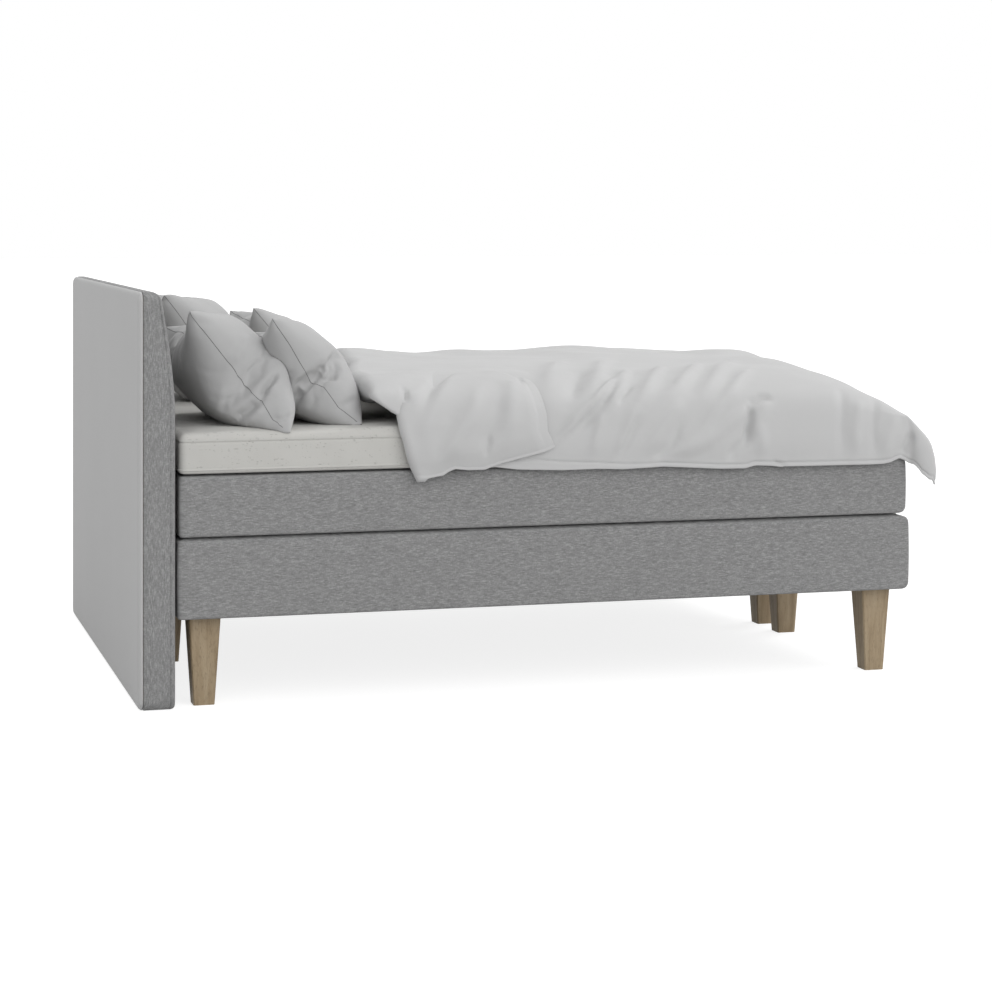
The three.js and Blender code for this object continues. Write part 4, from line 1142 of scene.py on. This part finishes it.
def swelling(up):
    """How far the turned-back corner stands over the layer below, in metres."""
    levels = [-0.02, 0.04, 0.12, 0.2, 0.3, 0.4, 0.5, 0.6, 0.7]
    return np.interp(up, levels, [12, 20, 30, 29, 20, 10, 3, -1, -9]) / 1000


def shared_rise(x, up):
    """The swell, folds and rumples that both layers have where they merge at the head."""
    soft = rumples(x, up, lean=0.6, pitch=0.09, length=0.5, height=0.008, seed=3.3)
    soft *= 1 - smooth((up - 0.5) / 0.15)
    return swelling(up) + folded(x, up, corner_folds) + soft


def top_rumples(x, up):
    """Broad, shallow rumples of the duvet's top."""
    from_hem = np.minimum(up, across_bed - up)
    broad = rumples(x, up, lean=0.2, pitch=0.28, length=0.45, height=0.009, seed=5.2)
    return broad * smooth((from_hem - 0.2) / 0.2)


def parting(up):
    """Where the turned-back corner rises out of the roll at the head end."""
    return np.interp(up, [0.2, 0.35, 0.68], [-0.365, -0.30, -0.22])


# The cloth lies plain over the bed, and folds, rumples and the roll at its head end lift it.
plain = draped(along_grid, up_grid)
from_hem = np.minimum(up_grid, across_bed - up_grid)
foot_away = long_reach[-1] - along_grid
lift = folded(plain[..., 0], up_grid, folds)
covered = smooth((0.03 - plain[..., 0]) / 0.06) * (1 - smooth((up_grid - 0.5) / 0.15))
slanting = rumples(along_grid, from_hem, lean=0.60, pitch=0.10, length=0.55, height=0.006, seed=1.7)
lift += slanting * smooth(from_hem / 0.05) * (1 - covered)
past = np.maximum(0, plain[..., 0] - parting(up_grid))
roll = shared_rise(plain[..., 0], up_grid) * smooth((up_grid - 0.12) / 0.08)
roll *= 1 - smooth((up_grid - 0.5) / 0.1)
lift += np.maximum(roll - 4 * past ** 2, np.minimum(roll, 0)) * (1 - smooth(past / 0.2))
lift += top_rumples(plain[..., 0], up_grid)
hanging = rumples(along_grid, up_grid, lean=1.45, pitch=0.11, length=0.5, height=0.006, seed=8.4)
lift += hanging * smooth((0.35 - foot_away) / 0.15)

# The hem is stitched, hangs unevenly, and the filling thins out towards it.
seam_up = np.interp(plain[..., 0], hem_seam[:, 0], hem_seam[:, 1])
hem_stitch_depth, hem_stitch_half = 0.003, 0.0025
lift -= hem_stitch_depth * np.exp(-((up_grid - seam_up) / hem_stitch_half) ** 2)
outer = raised(plain, lift)
low_hem = np.interp(plain[..., 0], hem_lift[:, 0], hem_lift[:, 1])
outer[..., 2] += low_hem * (1 - smooth(up_grid / 0.14))
foot_thickness = np.interp(foot_away, [0, 0.02, 0.06, 0.2, 0.4], [0.005, 0.007, 0.015, 0.022, 0.075])
inner = raised(outer, -np.minimum(thickness, foot_thickness))
below = quilt(outer, inner)

# The turned-back corner is a second layer on the left side, from its fold at the head to its free edge.
# It swells over the layer below, and its lower edge and free edge stand a little off it.
# Its fold and its free edge are pairs of up and along, and its lower edge of along and up.
fold_line = np.array([(-15, -361), (12, -373), (45, -383), (82, -391), (110, -399), (150, -403),
                      (190, -392), (250, -370), (600, -300)]) / 1000
free_line = np.array([(45, 0), (81, -18), (96, -26), (140, -26), (184, -32), (250, -35), (310, -43),
                      (360, -58), (420, -85), (600, -180)]) / 1000
foot_line = np.array([(-385, -13), (-369, -14), (-337, -9), (-322, -7), (-305, 2), (-284, 9), (-249, 5),
                      (-203, 5), (-163, 18), (-100, 33), (-33, 48), (-14, 53), (-2, 58)]) / 1000
flap_folds = [
    (20, -7, (-140, 190), (-160, 136), (-190, 90), (-208, 42)),
    (6, -7, (-180, 95), (-189, 60), (-197, 37)),
    (20, -6, (-260, 170), (-282, 126), (-310, 87), (-343, 11)),
    (20, 8, (-190, 220), (-235, 132), (-270, 87), (-310, 20)),
    (24, 8, (-90, 280), (-120, 160), (-140, 60)),
    (6, -4, (-50, 340), (-65, 270), (-78, 216)),
]
corner_top, edge_thickness, edge_seam, foot_seam = 0.68, 0.005, 0.022, 0.006
fold_stand, fold_tuck, free_tuck, head_sink = 0.014, 0.016, 0.010, 0.030
levels = np.concatenate([[0, 0.004, 0.008, 0.012, 0.017], np.linspace(0.024, 1, 80)])
u, v = np.meshgrid(np.linspace(0, 1, 76), levels, indexing="ij")
foot_x = foot_line[0, 0] + (foot_line[-1, 0] - foot_line[0, 0]) * u
bottom = np.interp(foot_x, foot_line[:, 0], foot_line[:, 1])
up = bottom + (corner_top - bottom) * v
left = np.interp(up, fold_line[:, 0], fold_line[:, 1])
right = np.interp(up, free_line[:, 0], free_line[:, 1])
x = left + (right - left) * u

# Its rise over the plain cloth: down to the fold, into the roll at the head, and to the free edge.
merged = smooth((up - 0.12) / 0.08)
swell = shared_rise(x, up) + top_rumples(x, up)
at_fold = fold_stand + (swell - fold_stand) * merged
rise = at_fold + (swell - at_fold) * smooth(u / np.interp(up, [0.1, 0.3], [0.14, 0.35]))
rise -= 4 * np.maximum(0, parting(up) - x) ** 2 * merged
at_free = np.interp(up, [0.0, 0.10, 0.28, 0.36, 0.44], [0.016, 0.015, 0.013, 0.008, -0.006])
rise += (at_free - rise) * smooth((u - 0.86) / 0.14)
rise -= fold_tuck * smooth((up - 0.25) / 0.10) * (1 - smooth(u / 0.12))
rise -= free_tuck * smooth((up - 0.38) / 0.10) * smooth((u - 0.88) / 0.12)

# Its own folds, and the stitching along its two free edges.
rise += folded(x, up, flap_folds)
rise -= 0.4 * rise * (1 - smooth((up - bottom) / 0.05))
from_seam = right - x - edge_seam * smooth((0.40 - up) / 0.1)
edge_stitch, edge_stitch_half, foot_stitch, foot_stitch_half = 0.002, 0.003, 0.0014, 0.0022
rise -= edge_stitch * np.exp(-(from_seam / edge_stitch_half) ** 2) * smooth((up - bottom) / 0.03)
rise -= foot_stitch * np.exp(-((up - bottom - foot_seam) / foot_stitch_half) ** 2)

# Its inner skin goes round the fold, lies on the layer below, and sinks with it under the roll.
flap = draped(x - origin.x, up)
wrap = 1 - smooth(u / 0.05)
behind_fold = 0.012 + 0.012 * (up < 0.18)
to_edge = smooth(np.minimum(up - bottom, right - x) / 0.04)
under = (rise - edge_thickness) * (1 - to_edge) + 0.004 * to_edge
under = under * (1 - wrap) - behind_fold * wrap
sunk = head_sink * smooth((up - 0.50) / 0.12)
corner = quilt(raised(flap, rise - sunk), raised(flap, under - sunk))
bedding = cotton("bedding", (9, 3), (3, 2), 191, 199, 0.0035)
duvet = piece("duvet_cover", *joined_meshes(below, corner), bedding, ["duvet"], "bedding")
